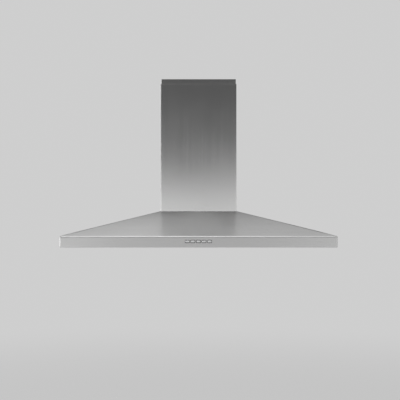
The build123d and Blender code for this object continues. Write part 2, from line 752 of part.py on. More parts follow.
for side, x in (("left", -lamp_x), ("right", lamp_x)):
    lamp_axis = Axis((x, lamp_y, 0), (0, 0, 1))
    section_plane = Plane.XZ.offset(-lamp_y)
    with BuildPart() as lamp_bezel:
        with BuildSketch(section_plane):
            with BuildLine():
                Polyline(
                    (x + lens_radius - lens_lap, base),
                    (x + bezel_outer - bezel_edge, base),
                    (x + bezel_outer, base + sheet),
                    (x + bezel_collar, base + sheet),
                    (x + bezel_collar, collar_top),
                    (x + lens_radius + lens_play, collar_top),
                    (x + lens_radius + lens_play, lens_seat),
                    (x + lens_radius - lens_lap, lens_seat),
                    close=True,
                )
            make_face()
        revolve(axis=lamp_axis)
    lamp_bezel.part.label = f"lamp_bezel_{side}"
    export_step(lamp_bezel.part, f"parts/lamp_bezel_{side}.step")

    with BuildPart() as lamp_lens:
        with BuildSketch(Plane.XY.offset(lens_seat)):
            with Locations((x, lamp_y)):
                Circle(lens_radius)
        extrude(amount=lens_thickness)
    lamp_lens.part.label = f"lamp_lens_{side}"
    export_step(lamp_lens.part, f"parts/lamp_lens_{side}.step")

    # the can: a dished reflector with a flange that stands on the bezel's collar
    with BuildPart() as lamp_housing:
        with BuildSketch(section_plane):
            with BuildLine():
                Polyline(
                    (x, collar_top + can_height - can_wall),
                    (x + can_crown, collar_top + can_height - can_wall),
                    (x + can_waist, collar_top + can_height / 2),
                    (x + can_mouth, collar_top),
                    (x + can_flange, collar_top),
                    (x + can_flange, collar_top + can_wall),
                    (x + can_mouth + can_wall, collar_top + can_wall),
                    (x + can_waist + can_wall, collar_top + can_wall + can_height / 2),
                    (x + can_crown + can_wall, collar_top + can_height),
                    (x, collar_top + can_height),
                    close=True,
                )
            make_face()
        revolve(axis=lamp_axis)
        # spigot where the lamp's lead comes out
        with BuildSketch(Plane.YZ.offset(x + spigot_start)):
            with Locations((lamp_y, spigot_level)):
                Circle(spigot_radius)
        extrude(amount=spigot_end - spigot_start)
    lamp_housing.part.label = f"lamp_housing_{side}"
    export_step(lamp_housing.part, f"parts/lamp_housing_{side}.step")

    with BuildPart() as lamp_bulb:
        bulb_top = collar_top + can_height - can_wall
        with BuildSketch(Plane.XY.offset(bulb_top)):
            with Locations((x, lamp_y)):
                Circle(bulb_base_radius)
        extrude(amount=-bulb_base_length)
        with BuildSketch(Plane.XY.offset(bulb_top - bulb_base_length)):
            with Locations((x, lamp_y)):
                Circle(bulb_radius)
        extrude(amount=-bulb_length)
        fillet(lamp_bulb.edges().group_by(Axis.Z)[0], bulb_tip)
    lamp_bulb.part.label = f"lamp_bulb_{side}"
    export_step(lamp_bulb.part, f"parts/lamp_bulb_{side}.step")

# ---------------------------------------------------------------- push buttons
rim_back = -hood_depth + sheet
bezel_play = 0.1  # between the bezel's collars and the rim's apertures
cap_size = (12.4, 7.0)
cap_corner = 1.5
cap_play = 0.3
cap_edge = 0.6
cap_proud = 1.3
cap_depth = 6.0
stem_size = (6.0, 3.6)
stem_clearance = 0.35
switch_front = -492.0
switch_depth = 30.0
switch_size = (98.0, 18.0)
bezel_plate = 2.0
bezel_rear = rim_back + bezel_plate
bezel_size = (100.0, 16.0)
bezel_corner = 2.0
bezel_opening = (cap_size[0] + 2 * cap_play, cap_size[1] + 2 * cap_play)
post_size = (5.0, 12.0)
post_span = switch_size[0] - 6.0
switch_corner = 2.0
stem_length = 10.0
stem_shaft = 14.0  # depth of the holes that the stems run in

with BuildPart() as switch_bezel:
    with BuildSketch(Plane.XZ.offset(-rim_back)) as bezel_outline:
        with Locations((0, button_height)):
            RectangleRounded(*bezel_size, bezel_corner)
    extrude(amount=-bezel_plate)
    with BuildSketch(Plane.XZ.offset(-rim_back)) as collars:
        with Locations((0, button_height)):
            with GridLocations(button_pitch, 0, button_count, 1):
                RectangleRounded(
                    aperture_size[0] - 2 * bezel_play,
                    aperture_size[1] - 2 * bezel_play,
                    aperture_corner - bezel_play,
                )
    extrude(amount=sheet)
    with BuildSketch(Plane.XZ.offset(hood_depth)) as cap_holes:
        with Locations((0, button_height)):
            with GridLocations(button_pitch, 0, button_count, 1):
                RectangleRounded(*bezel_opening, cap_corner + cap_play)
    extrude(amount=-2 * (sheet + bezel_plate), mode=Mode.SUBTRACT)
switch_bezel.part.label = "switch_bezel"
export_step(switch_bezel.part, "parts/switch_bezel.step")

with BuildPart() as switch_body:
    with BuildSketch(Plane.XZ.offset(-switch_front)):
        with Locations((0, button_height)):
            RectangleRounded(*switch_size, switch_corner)
    extrude(amount=-switch_depth)
    # posts that reach forward to the bezel at both ends
    with BuildSketch(Plane.XZ.offset(-switch_front)):
        with Locations((0, button_height)):
            with GridLocations(post_span, 0, 2, 1):
                Rectangle(*post_size)
    extrude(amount=switch_front - bezel_rear)
    with BuildSketch(Plane.XZ.offset(-switch_front)):
        with Locations((0, button_height)):
            with GridLocations(button_pitch, 0, button_count, 1):
                Rectangle(stem_size[0] + 2 * stem_clearance, stem_size[1] + 2 * stem_clearance)
    extrude(amount=-stem_shaft, mode=Mode.SUBTRACT)
switch_body.part.label = "switch_body"
export_step(switch_body.part, "parts/switch_body.step")

cap_front = -hood_depth - cap_proud
for number in range(1, button_count + 1):
    x = (number - (button_count + 1) / 2) * button_pitch
    with BuildPart() as push_button:
        with BuildSketch(Plane.XZ.offset(-cap_front)):
            with Locations((x, button_height)):
                RectangleRounded(*cap_size, cap_corner)
        extrude(amount=-cap_depth)
        fillet(push_button.edges().group_by(Axis.Y)[0], cap_edge)
        with BuildSketch(Plane.XZ.offset(-(cap_front + cap_depth))):
            with Locations((x, button_height)):
                Rectangle(*stem_size)
        extrude(amount=-stem_length)
    push_button.part.label = f"push_button_{number}"
    export_step(push_button.part, f"parts/push_button_{number}.step")

# ---------------------------------------------------------------- chimney
slide_gap = 1.2
chimney_corner = 2.0
return_width = 15.0
upper_inset = sheet + slide_gap
upper_foot = deck + 0.3
vent_count = 8
vent_pitch = 11.0
vent_size = (150.0, 4.0)
vent_top = upper_top - 40.0


def chimney_section(height, inset):
    """Folded sheet in plan: front, two sides, and a return along the wall on each side."""
    width = chimney_width - 2 * inset
    depth = chimney_depth - 2 * inset
    with BuildSketch(Plane.XY.offset(height)) as outer:
        with Locations((0, -chimney_depth / 2)):
            Rectangle(width, depth)
        fillet(outer.vertices(), chimney_corner)
        offset(amount=-sheet, mode=Mode.SUBTRACT)
        with Locations((0, -inset)):
            Rectangle(width - 2 * return_width, 4 * sheet, mode=Mode.SUBTRACT)
    return outer.sketch


with BuildPart() as chimney_lower:
    extrude(chimney_section(deck, 0), amount=lower_chimney_height)
chimney_lower.part.label = "chimney_lower"
export_step(chimney_lower.part, "parts/chimney_lower.step")

with BuildPart() as chimney_upper:
    extrude(chimney_section(upper_foot, upper_inset), amount=upper_top - upper_foot)
    with BuildSketch(Plane.YZ):
        with Locations((-chimney_depth / 2, vent_top - (vent_count - 1) * vent_pitch / 2)):
            with GridLocations(0, vent_pitch, 1, vent_count):
                SlotOverall(*vent_size)
    extrude(amount=chimney_width, both=True, mode=Mode.SUBTRACT)
chimney_upper.part.label = "chimney_upper"
export_step(chimney_upper.part, "parts/chimney_upper.step")

# wall bracket: a strip between the lower chimney's returns, with ears for the upper chimney
bracket_thickness = 1.8
bracket_height = 24.0
bracket_mid = lower_top - 24.0
ear_x = 112.0
ear_depth = 20.0
ear_corner = 4.0
ear_hole_radius = 2.0
ear_hole_y = -12.0
tab_length = 12.0
tab_lap = 2.0
bracket_hole_span = 160.0
bracket_hole_radius = 3.5
return_edge = chimney_width / 2 - return_width

with BuildPart() as chimney_bracket:
    with BuildSketch(Plane.XZ):
        with Locations((0, bracket_mid)):
            Rectangle(2 * return_edge, bracket_height)
            with GridLocations(bracket_hole_span, 0, 2, 1):
                Circle(bracket_hole_radius, mode=Mode.SUBTRACT)
    extrude(amount=bracket_thickness)
    for end in (-1, 1):
        with BuildSketch(Plane.YZ.offset(end * ear_x)) as ear:
            with Locations((-ear_depth / 2, bracket_mid)):
                Rectangle(ear_depth, bracket_height)
            fillet(ear.vertices().group_by(Axis.Y)[0], ear_corner)
            with Locations((ear_hole_y, bracket_mid)):
                Circle(ear_hole_radius, mode=Mode.SUBTRACT)
        extrude(amount=-end * bracket_thickness)
        # tab that lies in front of the lower chimney's return and holds it to the wall
        with BuildSketch(Plane.XY.offset(bracket_mid - bracket_height / 2)):
            with Locations((end * (return_edge + tab_lap), -(sheet + bracket_thickness) / 2)):
                Rectangle(tab_length, bracket_thickness - sheet)
        extrude(amount=bracket_height)
chimney_bracket.part.label = "chimney_bracket"
export_step(chimney_bracket.part, "parts/chimney_bracket.step")

# ---------------------------------------------------------------- electrical pieces
electrics_floor = base + 18.0
control_x = -285.0
control_size = (110.0, 34.0, 26.0)
control_wall = 1.6
control_corner = 2.0
cover_thickness = 2.0
cover_edge = 1.0
transformer_size = (90.0, 34.0, 24.0)
transformer_edge = 3.0
capacitor_radius = 12.0
capacitor_length = 44.0
capacitor_edge = 1.5
capacitor_gap = 2.0  # between the can and the back plate
capacitor_y = -plate_thickness - capacitor_radius - capacitor_gap
foot_length = 12.0
foot_height = 8.0
control_y = -plate_thickness - control_size[1] / 2

with BuildPart() as control_box:
    with BuildSketch(Plane.XY.offset(electrics_floor)):
        with Locations((control_x, control_y)):
            RectangleRounded(control_size[0], control_size[1], control_corner)
    extrude(amount=control_size[2])
    offset(amount=-control_wall, openings=control_box.faces().sort_by(Axis.Z)[-1])
control_box.part.label = "control_box"
export_step(control_box.part, "parts/control_box.step")

with BuildPart() as control_box_cover:
    with BuildSketch(Plane.XY.offset(electrics_floor + control_size[2])):
        with Locations((control_x, control_y)):
            RectangleRounded(control_size[0], control_size[1], control_corner)
    extrude(amount=cover_thickness)
    fillet(control_box_cover.edges().group_by(Axis.Z)[-1], cover_edge)
control_box_cover.part.label = "control_box_cover"
export_step(control_box_cover.part, "parts/control_box_cover.step")

with BuildPart() as lamp_transformer:
    with BuildSketch(Plane.XY.offset(electrics_floor)):
        with Locations((-control_x, -plate_thickness - transformer_size[1] / 2)):
            Rectangle(transformer_size[0], transformer_size[1])
    extrude(amount=transformer_size[2])
    fillet(lamp_transformer.edges().group_by(Axis.Z)[-1], transformer_edge)
lamp_transformer.part.label = "lamp_transformer"
export_step(lamp_transformer.part, "parts/lamp_transformer.step")

with BuildPart() as capacitor:
    with BuildSketch(Plane.YZ.offset(control_x - control_size[0] / 2)):
        with Locations((capacitor_y, electrics_floor + capacitor_radius)):
            Circle(capacitor_radius)
    extrude(amount=-capacitor_length)
    fillet(capacitor.edges().group_by(Axis.X)[0], capacitor_edge)
    # foot that holds the can to the back plate
    foot_start = control_x - (control_size[0] + capacitor_length - foot_length) / 2
    with BuildSketch(Plane.YZ.offset(foot_start)):
        with Locations(((capacitor_y - plate_thickness) / 2, electrics_floor + capacitor_radius)):
            Rectangle(-capacitor_y - plate_thickness, foot_height)
    extrude(amount=-foot_length)
capacitor.part.label = "capacitor"
export_step(capacitor.part, "parts/capacitor.step")

# ---------------------------------------------------------------- internal leads
# They lie on the pan, round the outside of the filter well.
lead_radius = 2.0
lead_bend = 12.0
lead_gap = 0.05
lead_level = pan_floor + sheet + lead_radius + lead_gap
lead_drop = 22.0  # length over which a lead comes down to the pan
well_pass = well_front - 8.0  # between the well and the lamps
side_pass = well_half + 14.0
lead_pitch = 8.0
transformer_end = transformer_size[0] / 2 - control_x
transformer_y = -plate_thickness - transformer_size[1] / 2
transformer_entry = electrics_floor + 8.0
switch_exit_x = -30.0
switch_drop_x = -75.0
switch_rear = switch_front + switch_depth
switch_run = 30.0
control_entry_x = control_x - 15.0
control_entry = electrics_floor + 12.0
control_front = -plate_thickness - control_size[1]
rear_pass = control_front - 24.5


def lead(*points):
    """A round lead along straight runs that are joined by arcs."""
    with BuildPart(mode=Mode.PRIVATE) as tube:
        with BuildLine():
            route = FilletPolyline(*points, radius=lead_bend)
        with BuildSketch(route ^ 0):
            Circle(lead_radius)
        sweep()
    return tube.part


def lamp_exit(lamp_place):
    """First points of a lamp's lead: out of the can's spigot and down to the pan."""
    start = lamp_place + spigot_end
    return [
        (start, lamp_y, spigot_level),
        (start + lead_drop, lamp_y, spigot_level),
        (start + 2 * lead_drop, lamp_y, lead_level),
    ]


def rear_end(side_x, entry_y):
    """Last points of a lamp's lead: back along the side of the pan and up to the transformer."""
    return [
        (side_x, rear_pass, lead_level),
        (side_x - lead_drop, entry_y, transformer_entry),
        (transformer_end, entry_y, transformer_entry),
    ]


left_route = lamp_exit(-lamp_x)
left_route += [(0, well_pass, lead_level), (side_pass, well_pass, lead_level)]
left_route += rear_end(side_pass, transformer_y - lead_pitch / 2)
right_route = lamp_exit(lamp_x)
right_route += [(side_pass + lead_pitch, lamp_y, lead_level)]
right_route += rear_end(side_pass + lead_pitch, transformer_y + lead_pitch / 2)
lamp_leads = Compound([lead(*left_route), lead(*right_route)])
lamp_leads.label = "lamp_leads"
export_step(lamp_leads, "parts/lamp_leads.step")

# the switch lead crosses over the left lamp's lead just behind the switches
switch_lead = lead(
    (switch_exit_x, switch_rear, button_height),
    (switch_exit_x, switch_rear + switch_run, button_height),
    (switch_drop_x, well_pass, lead_level),
    (-side_pass, well_pass, lead_level),
    (-side_pass, rear_pass, lead_level),
    (control_entry_x, rear_pass, lead_level),
    (control_entry_x, rear_pass, control_entry),
    (control_entry_x, control_front, control_entry),
)
switch_lead.label = "switch_lead"
export_step(switch_lead, "parts/switch_lead.step")
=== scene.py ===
import json
import math

import bmesh
import bpy
from mathutils import Matrix, Vector

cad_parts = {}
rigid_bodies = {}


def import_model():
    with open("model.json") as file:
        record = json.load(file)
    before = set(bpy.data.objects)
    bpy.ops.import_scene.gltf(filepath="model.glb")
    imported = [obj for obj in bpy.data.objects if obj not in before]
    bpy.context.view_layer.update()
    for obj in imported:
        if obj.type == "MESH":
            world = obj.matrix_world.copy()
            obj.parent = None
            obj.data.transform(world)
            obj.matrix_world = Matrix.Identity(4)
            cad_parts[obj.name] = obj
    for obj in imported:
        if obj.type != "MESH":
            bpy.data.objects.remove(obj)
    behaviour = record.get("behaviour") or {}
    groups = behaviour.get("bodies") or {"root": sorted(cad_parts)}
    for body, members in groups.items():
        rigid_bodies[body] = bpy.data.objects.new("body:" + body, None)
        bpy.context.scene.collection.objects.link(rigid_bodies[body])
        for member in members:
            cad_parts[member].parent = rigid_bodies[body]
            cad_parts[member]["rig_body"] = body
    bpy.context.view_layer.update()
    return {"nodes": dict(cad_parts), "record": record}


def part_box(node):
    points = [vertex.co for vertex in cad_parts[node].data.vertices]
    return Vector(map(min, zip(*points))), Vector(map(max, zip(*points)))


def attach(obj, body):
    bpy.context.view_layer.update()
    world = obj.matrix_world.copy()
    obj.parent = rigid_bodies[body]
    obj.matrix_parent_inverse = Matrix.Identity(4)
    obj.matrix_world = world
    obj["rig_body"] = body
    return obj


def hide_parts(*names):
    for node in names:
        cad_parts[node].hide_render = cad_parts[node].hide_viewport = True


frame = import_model()

# Metres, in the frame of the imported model: the wall is the plane y = 0, the front faces -Y, Z is up.
MM = 0.001
SHEET = 1.0 * MM
SMOOTH_ANGLE = math.radians(32)
MERGE = 0.01 * MM
CAD_MERGE = 0.002 * MM
FLAT_ANGLE = math.radians(0.5)
BEVEL_ANGLE = math.radians(50)
EDGE_STEPS = 2
SAME_PLANE = 0.5 * MM
# cosines between a face's normal and the way that it counts as facing, loosely and closely
FACING = 0.9
SQUARE_ON = 0.99

shell_low, shell_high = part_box("canopy_shell")
lower_low, lower_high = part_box("chimney_lower")
hood_half = shell_high.x
hood_depth = -shell_low.y
base = shell_low.z
deck = shell_high.z
chimney_half = lower_high.x
chimney_depth = -lower_low.y


# ---------------------------------------------------------------- shading tools
class Value:
    """A socket that carries a number or a colour. Maths written on it adds Math nodes."""

    def __init__(self, graph, socket):
        self.graph = graph
        self.socket = socket

    def __add__(self, other):
        return self.graph.math("ADD", self, other)

    def __radd__(self, other):
        return self.graph.math("ADD", other, self)

    def __sub__(self, other):
        return self.graph.math("SUBTRACT", self, other)

    def __rsub__(self, other):
        return self.graph.math("SUBTRACT", other, self)

    def __mul__(self, other):
        return self.graph.math("MULTIPLY", self, other)

    def at_most(self, other):
        return self.graph.math("MINIMUM", self, other)

    def at_least(self, other):
        return self.graph.math("MAXIMUM", self, other)


class Graph:
    """The nodes of one material."""

    def __init__(self, tree):
        self.tree = tree

    def node(self, kind, settings=None, inputs=None, output=0):
        """Adds a node with its settings, then its sockets' values or links."""
        made = self.tree.nodes.new(kind)
        for key, value in (settings or {}).items():
            if key == "stops":
                self.set_stops(made.color_ramp, value)
            else:
                setattr(made, key, value)
        for key, value in (inputs or {}).items():
            self.put(made.inputs[key], value)
        return Value(self, made.outputs[output]) if made.outputs else None

    def put(self, socket, value):
        if isinstance(value, Value):
            self.tree.links.new(value.socket, socket)
        else:
            socket.default_value = value

    def set_stops(self, ramp, stops):
        while len(ramp.elements) < len(stops):
            ramp.elements.new(1.0)
        for element, (position, tone) in zip(ramp.elements, stops):
            element.position = position
            element.color = (tone, tone, tone, 1.0)

    def math(self, operation, first, second=0.0):
        return self.node("ShaderNodeMath", {"operation": operation}, {0: first, 1: second})

    def coordinate(self, axis):
        """The object coordinate along X (0), Y (1) or Z (2)."""
        where = self.node("ShaderNodeTexCoord", output="Object")
        return self.node("ShaderNodeSeparateXYZ", inputs={0: where}, output=axis)

    def between(self, amount, low, high, start=0.0, end=1.0, kind="LINEAR"):
        """Runs from start, where amount is low, to end, where it is high."""
        sockets = {0: amount, 1: low, 2: high, 3: start, 4: end}
        return self.node("ShaderNodeMapRange", {"interpolation_type": kind}, sockets)

    def stops(self, amount, stops):
        """A grey that follows stops of (amount, tone)."""
        return self.node("ShaderNodeValToRGB", {"stops": stops}, {0: amount})

    def mixed(self, share, first, second):
        return self.node("ShaderNodeMixShader", inputs={0: share, 1: first, 2: second})

    def emission(self, colour):
        return self.node("ShaderNodeEmission", inputs={"Color": colour})

    def clear(self):
        return self.node("ShaderNodeBsdfTransparent")

    def surface(self, shader):
        """Links the shader to the material's output."""
        self.node("ShaderNodeOutputMaterial", inputs={"Surface": shader})

    def place(self, scale):
        """Object coordinates, stretched by scale along X, Y and Z."""
        where = self.node("ShaderNodeTexCoord", output="Object")
        return self.node("ShaderNodeMapping", inputs={"Vector": where, "Scale": scale})

    def noise(self, scale, detail, roughness=0.5):
        """Noise between about 0.3 and 0.7, with scale features per metre along each axis."""
        sockets = {"Vector": self.place(scale), "Scale": 1.0, "Detail": detail, "Roughness": roughness}
        return self.node("ShaderNodeTexNoise", inputs=sockets)

    def tint(self, amount, dark, light):
        """A colour between dark and light."""
        sockets = {0: amount, 6: (*dark, 1.0), 7: (*light, 1.0)}
        return self.node("ShaderNodeMix", {"data_type": "RGBA"}, sockets, output=2)

    def bump(self, height, depth, strength):
        sockets = {"Height": height, "Distance": depth, "Strength": strength}
        return self.node("ShaderNodeBump", inputs=sockets)


def shade(colour, factor):
    return tuple(channel * factor for channel in colour)


def material(name, paint):
    """A material whose Principled sockets are given by paint(graph)."""
    made = bpy.data.materials.new(name)
    made.use_nodes = True
    graph = Graph(made.node_tree)
    surface = made.node_tree.nodes["Principled BSDF"]
    for key, value in paint(graph).items():
        if isinstance(value, tuple):
            value = (*value, 1.0)
        graph.put(surface.inputs[key], value)
    return made


# ---------------------------------------------------------------- finishes
BLACK = (0.0, 0.0, 0.0)
STEEL = (0.68, 0.68, 0.678)
# lines of a brushed grain per metre along X, Y and Z
FRONT_GRAIN = {"fine": (12.0, 12.0, 3200.0), "coarse": (1.6, 1.6, 420.0)}
RISING_GRAIN = {"fine": (3200.0, 3200.0, 12.0), "coarse": (420.0, 420.0, 1.6)}
PAN_GRAIN = {"fine": (12.0, 3200.0, 3200.0), "coarse": (1.6, 420.0, 420.0)}
GRAIN_DEPTH = 0.012 * MM
# cells of the zinc's spangle per metre
SPANGLE = 130.0
LENS_RADIUS = 29.0 * MM
# how bright a lamp's glass is, by the square of its share of LENS_RADIUS
GLOW_STOPS = [(0.0, 1.0), (0.12, 0.8), (0.4, 0.42), (0.75, 0.24), (0.86, 0.12)]
lamp_low, lamp_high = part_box("lamp_lens_right")
lamp_place = ((lamp_low + lamp_high) / 2).xy


def brushed(colour, fine, coarse, roughness, anisotropy, turn=0.0, depth=GRAIN_DEPTH):
    """Brushed sheet with a fine and a coarse grain."""

    def paint(graph):
        hair = graph.noise(fine, 2.0, 0.6)
        streak = graph.noise(coarse, 3.0, 0.6)
        cloud = graph.noise((5.0, 5.0, 5.0), 2.0)
        tone = (hair * 0.5 + streak * 0.5).at_most(1.0)
        return {
            "Base Color": graph.tint(tone, shade(colour, 0.93), shade(colour, 1.06)),
            "Metallic": 1.0,
            "Roughness": roughness - 0.09 + streak * 0.1 + cloud * 0.06 + hair * 0.03,
            "Anisotropic": anisotropy,
            "Anisotropic Rotation": turn,
            "Normal": graph.bump(hair, depth, 0.5),
        }

    return paint


def galvanised(colour, roughness):
    """Zinc with faint spangle."""

    def paint(graph):
        cells = {"Vector": graph.place((1.0, 1.0, 1.0)), "Scale": SPANGLE}
        spangle = graph.node("ShaderNodeTexVoronoi", {"feature": "F1"}, cells, output="Color")
        grey = graph.node("ShaderNodeSeparateColor", inputs={0: spangle})
        cloud = graph.noise((14.0, 14.0, 14.0), 3.0)
        return {
            "Base Color": graph.tint(grey * 0.6 + cloud * 0.4, shade(colour, 0.86), shade(colour, 1.1)),
            "Metallic": 0.9,
            "Roughness": roughness + grey * 0.12 + cloud * 0.1,
            "Normal": graph.bump(grey, 0.01 * MM, 0.4),
        }

    return paint


def moulded(colour, roughness, grain, depth):
    """Moulded plastic or rubber with a fine texture."""

    def paint(graph):
        skin = graph.noise((grain, grain, grain), 2.0, 0.6)
        cloud = graph.noise((12.0, 12.0, 12.0), 2.0)
        return {
            "Base Color": graph.tint(cloud, shade(colour, 0.88), shade(colour, 1.12)),
            "Roughness": roughness - 0.08 + cloud * 0.1 + skin * 0.06,
            "Normal": graph.bump(skin, depth, 0.6),
        }

    return paint


def cast_metal(colour, roughness, metallic, grain):
    """Plain metal that is neither brushed nor painted."""

    def paint(graph):
        skin = graph.noise((grain, grain, grain), 2.0, 0.55)
        cloud = graph.noise((9.0, 9.0, 9.0), 3.0)
        return {
            "Base Color": graph.tint(cloud, shade(colour, 0.9), shade(colour, 1.06)),
            "Metallic": metallic,
            "Roughness": roughness - 0.05 + cloud * 0.08 + skin * 0.04,
            "Normal": graph.bump(skin, 0.01 * MM, 0.4),
        }

    return paint


def lit_glass(colour, glow, strength, transmission):
    """Frosted glass of a lamp that is on: brightest over its bulb."""

    def paint(graph):
        frost = graph.noise((900.0, 900.0, 900.0), 2.0)
        across = graph.math("ABSOLUTE", graph.coordinate(0)) - lamp_place.x
        ahead = graph.coordinate(1) - lamp_place.y
        away = (across * across + ahead * ahead) * (1.0 / LENS_RADIUS**2)
        light = graph.stops(away, GLOW_STOPS)
        return {
            "Base Color": colour,
            "Roughness": 0.22 + frost * 0.2,
            "Transmission Weight": transmission,
            "IOR": 1.5,
            "Emission Color": graph.tint(light, BLACK, glow),
            "Emission Strength": strength,
            "Normal": graph.bump(frost, 0.02 * MM, 0.4),
        }

    return paint


paints = {
    "canopy_steel": brushed(
        STEEL, **FRONT_GRAIN, roughness=0.35, anisotropy=0.3, turn=0.25, depth=GRAIN_DEPTH / 2
    ),
    "chimney_steel": brushed(STEEL, **RISING_GRAIN, roughness=0.18, anisotropy=0.4),
    "pan_steel": brushed(shade(STEEL, 0.97), **PAN_GRAIN, roughness=0.3, anisotropy=0.0),
    "galvanised_steel": galvanised((0.56, 0.575, 0.59), 0.34),
    "filter_aluminium": cast_metal((0.75, 0.755, 0.765), 0.33, 1.0, 700.0),
    "latch_metal": cast_metal((0.62, 0.625, 0.635), 0.26, 1.0, 900.0),
    "lamp_trim": cast_metal((0.8, 0.8, 0.8), 0.12, 1.0, 300.0),
    "lamp_glass": lit_glass((0.9, 0.9, 0.87), (1.0, 0.93, 0.8), 0.6, 0.5),
    "lamp_capsule": lit_glass((0.98, 0.95, 0.88), (1.0, 0.9, 0.72), 1.2, 0.6),
    "lamp_reflector": cast_metal((0.85, 0.85, 0.86), 0.15, 1.0, 200.0),
    "button_caps": cast_metal((0.74, 0.745, 0.75), 0.24, 0.9, 900.0),
    "switch_plastic": moulded((0.012, 0.012, 0.013), 0.55, 1500.0, 0.03 * MM),
    "fan_plastic": moulded((0.042, 0.042, 0.045), 0.48, 900.0, 0.04 * MM),
    "motor_paint": moulded((0.3, 0.31, 0.33), 0.4, 700.0, 0.03 * MM),
    "plain_steel": cast_metal((0.6, 0.605, 0.62), 0.28, 1.0, 600.0),
    "seal_rubber": moulded((0.03, 0.03, 0.032), 0.75, 1200.0, 0.08 * MM),
    "housing_plastic": moulded((0.7, 0.7, 0.68), 0.5, 900.0, 0.03 * MM),
    "transformer_paint": moulded((0.8, 0.8, 0.78), 0.45, 900.0, 0.03 * MM),
    "capacitor_case": moulded((0.6, 0.6, 0.58), 0.35, 600.0, 0.02 * MM),
    "lead_sheath": moulded((0.42, 0.42, 0.43), 0.55, 500.0, 0.03 * MM),
}
finishes = {slot: material(slot, paint) for slot, paint in paints.items()}
slot_of = {part["node"]: part["material_slot"] for part in frame["record"]["subparts"]}
for node_name, node in frame["nodes"].items():
    for material_slot in node.material_slots:
        material_slot.material = finishes[slot_of[node_name]]


# ---------------------------------------------------------------- modelling tools
def orient(bm, outward=None):
    """Merges doubles and turns the faces so that the one that lies furthest outward looks that way."""
    bmesh.ops.remove_doubles(bm, verts=bm.verts, dist=MERGE)
    bmesh.ops.recalc_face_normals(bm, faces=bm.faces)
    if outward is None:
        return
    outward = Vector(outward).normalized()
    facing = [face for face in bm.faces if abs(face.normal.dot(outward)) > FACING]
    main = max(facing, key=lambda face: face.calc_center_median().dot(outward))
    if main.normal.dot(outward) < 0:
        bmesh.ops.reverse_faces(bm, faces=bm.faces)


def thicken(bm, wall, outward):
    """Gives an open sheet its thickness on the side away from outward."""
    orient(bm, outward)
    bmesh.ops.solidify(bm, geom=bm.faces, thickness=wall)


def piece(bm, name, body, slot, nodes=(), wall=0.0, edge=0.0, outward=None, oriented=False):
    """Finishes a mesh and puts it on its body. Oriented says that its faces look outwards already."""
    if not oriented:
        orient(bm, outward)
    mesh = bpy.data.meshes.new(name)
    bm.to_mesh(mesh)
    bm.free()
    mesh.shade_smooth()
    mesh.set_sharp_from_angle(angle=SMOOTH_ANGLE)
    mesh.materials.append(finishes[slot])
    made = bpy.data.objects.new(name, mesh)
    bpy.context.scene.collection.objects.link(made)
    if wall:
        thickness = made.modifiers.new("wall", "SOLIDIFY")
        thickness.thickness = wall
        thickness.offset = -1
        thickness.use_even_offset = True
    if edge:
        easing = made.modifiers.new("edge", "BEVEL")
        easing.width = edge
        easing.segments = EDGE_STEPS
        easing.limit_method = "ANGLE"
        easing.angle_limit = BEVEL_ANGLE
    made.modifiers.new("shading", "WEIGHTED_NORMAL").keep_sharp = True
    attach(made, body)
    if nodes:
        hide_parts(*nodes)


def ease(bm, geometry, width, segments, affect="EDGES"):
    """Rounds edges, or the corners of a flat face."""
    bmesh.ops.bevel(
        bm,
        geom=geometry,
        offset=width,
        offset_type="OFFSET",
        segments=segments,
        profile=0.5,
        affect=affect,
        clamp_overlap=affect == "EDGES",
        material=-1,
    )


def ease_sharp(bm, width):
    """Rounds the edges that would be shaded sharp."""
    sharp = [edge for edge in bm.edges if edge.calc_face_angle() > SMOOTH_ANGLE]
    ease(bm, sharp, width, EDGE_STEPS)


def plate(bm, corners, radius=0.0, steps=5, rounded=None):
    """A flat face through the corners, of which those numbered in rounded are made round.

    Returns the face and its edges. Without rounded, all corners are made round.
    """
    old = set(bm.edges)
    face = bm.faces.new([bm.verts.new(corner) for corner in corners])
    if radius:
        picked = [face.verts[number] for number in (rounded or range(len(corners)))]
        ease(bm, picked, radius, steps, "VERTICES")
    edges = [edge for edge in bm.edges if edge not in old]
    return edges[0].link_faces[0], edges


def ring(bm, corners, radius=0.0, steps=5, rounded=None):
    """The closed outline of such a plate, without its face."""
    face, edges = plate(bm, corners, radius, steps, rounded)
    bmesh.ops.delete(bm, geom=[face], context="FACES_ONLY")
    return edges


def rectangle(across, along, centre, width, length):
    """Corners of a rectangle about centre, which lies along the unit vectors across and along."""
    across = Vector(across) * width / 2
    along = Vector(along) * length / 2
    centre = Vector(centre)
    return [
        centre - across - along,
        centre + across - along,
        centre + across + along,
        centre - across + along,
    ]


def turn_to(facing):
    """The rotation that turns the Z axis to facing."""
    return Vector((0, 0, 1)).rotation_difference(Vector(facing)).to_matrix().to_4x4()


def circle(bm, centre, radius, steps, facing=(0, 0, 1)):
    """The outline of a circle."""
    spot = Matrix.Translation(centre) @ turn_to(facing)
    made = bmesh.ops.create_circle(bm, cap_ends=False, segments=steps, radius=radius, matrix=spot)
    return list({edge for vert in made["verts"] for edge in vert.link_edges})


def extend(bm, edges, scale=(1, 1, 1), move=(0, 0, 0), about=(0, 0, 0)):
    """Draws the edges out into faces, and returns the far edges."""
    made = bmesh.ops.extrude_edge_only(bm, edges=edges)["geom"]
    verts = [item for item in made if isinstance(item, bmesh.types.BMVert)]
    space = Matrix.Translation(-Vector(about))
    bmesh.ops.scale(bm, vec=scale, verts=verts, space=space)
    bmesh.ops.translate(bm, vec=move, verts=verts)
    far = set(verts)
    return [item for item in made if isinstance(item, bmesh.types.BMEdge) and set(item.verts) <= far]


def fill(bm, *outlines):
    """Fills the outermost outline, and leaves the others open in it."""
    edges = [edge for outline in outlines for edge in outline]
    bmesh.ops.triangle_fill(bm, use_beauty=True, use_dissolve=False, edges=edges)


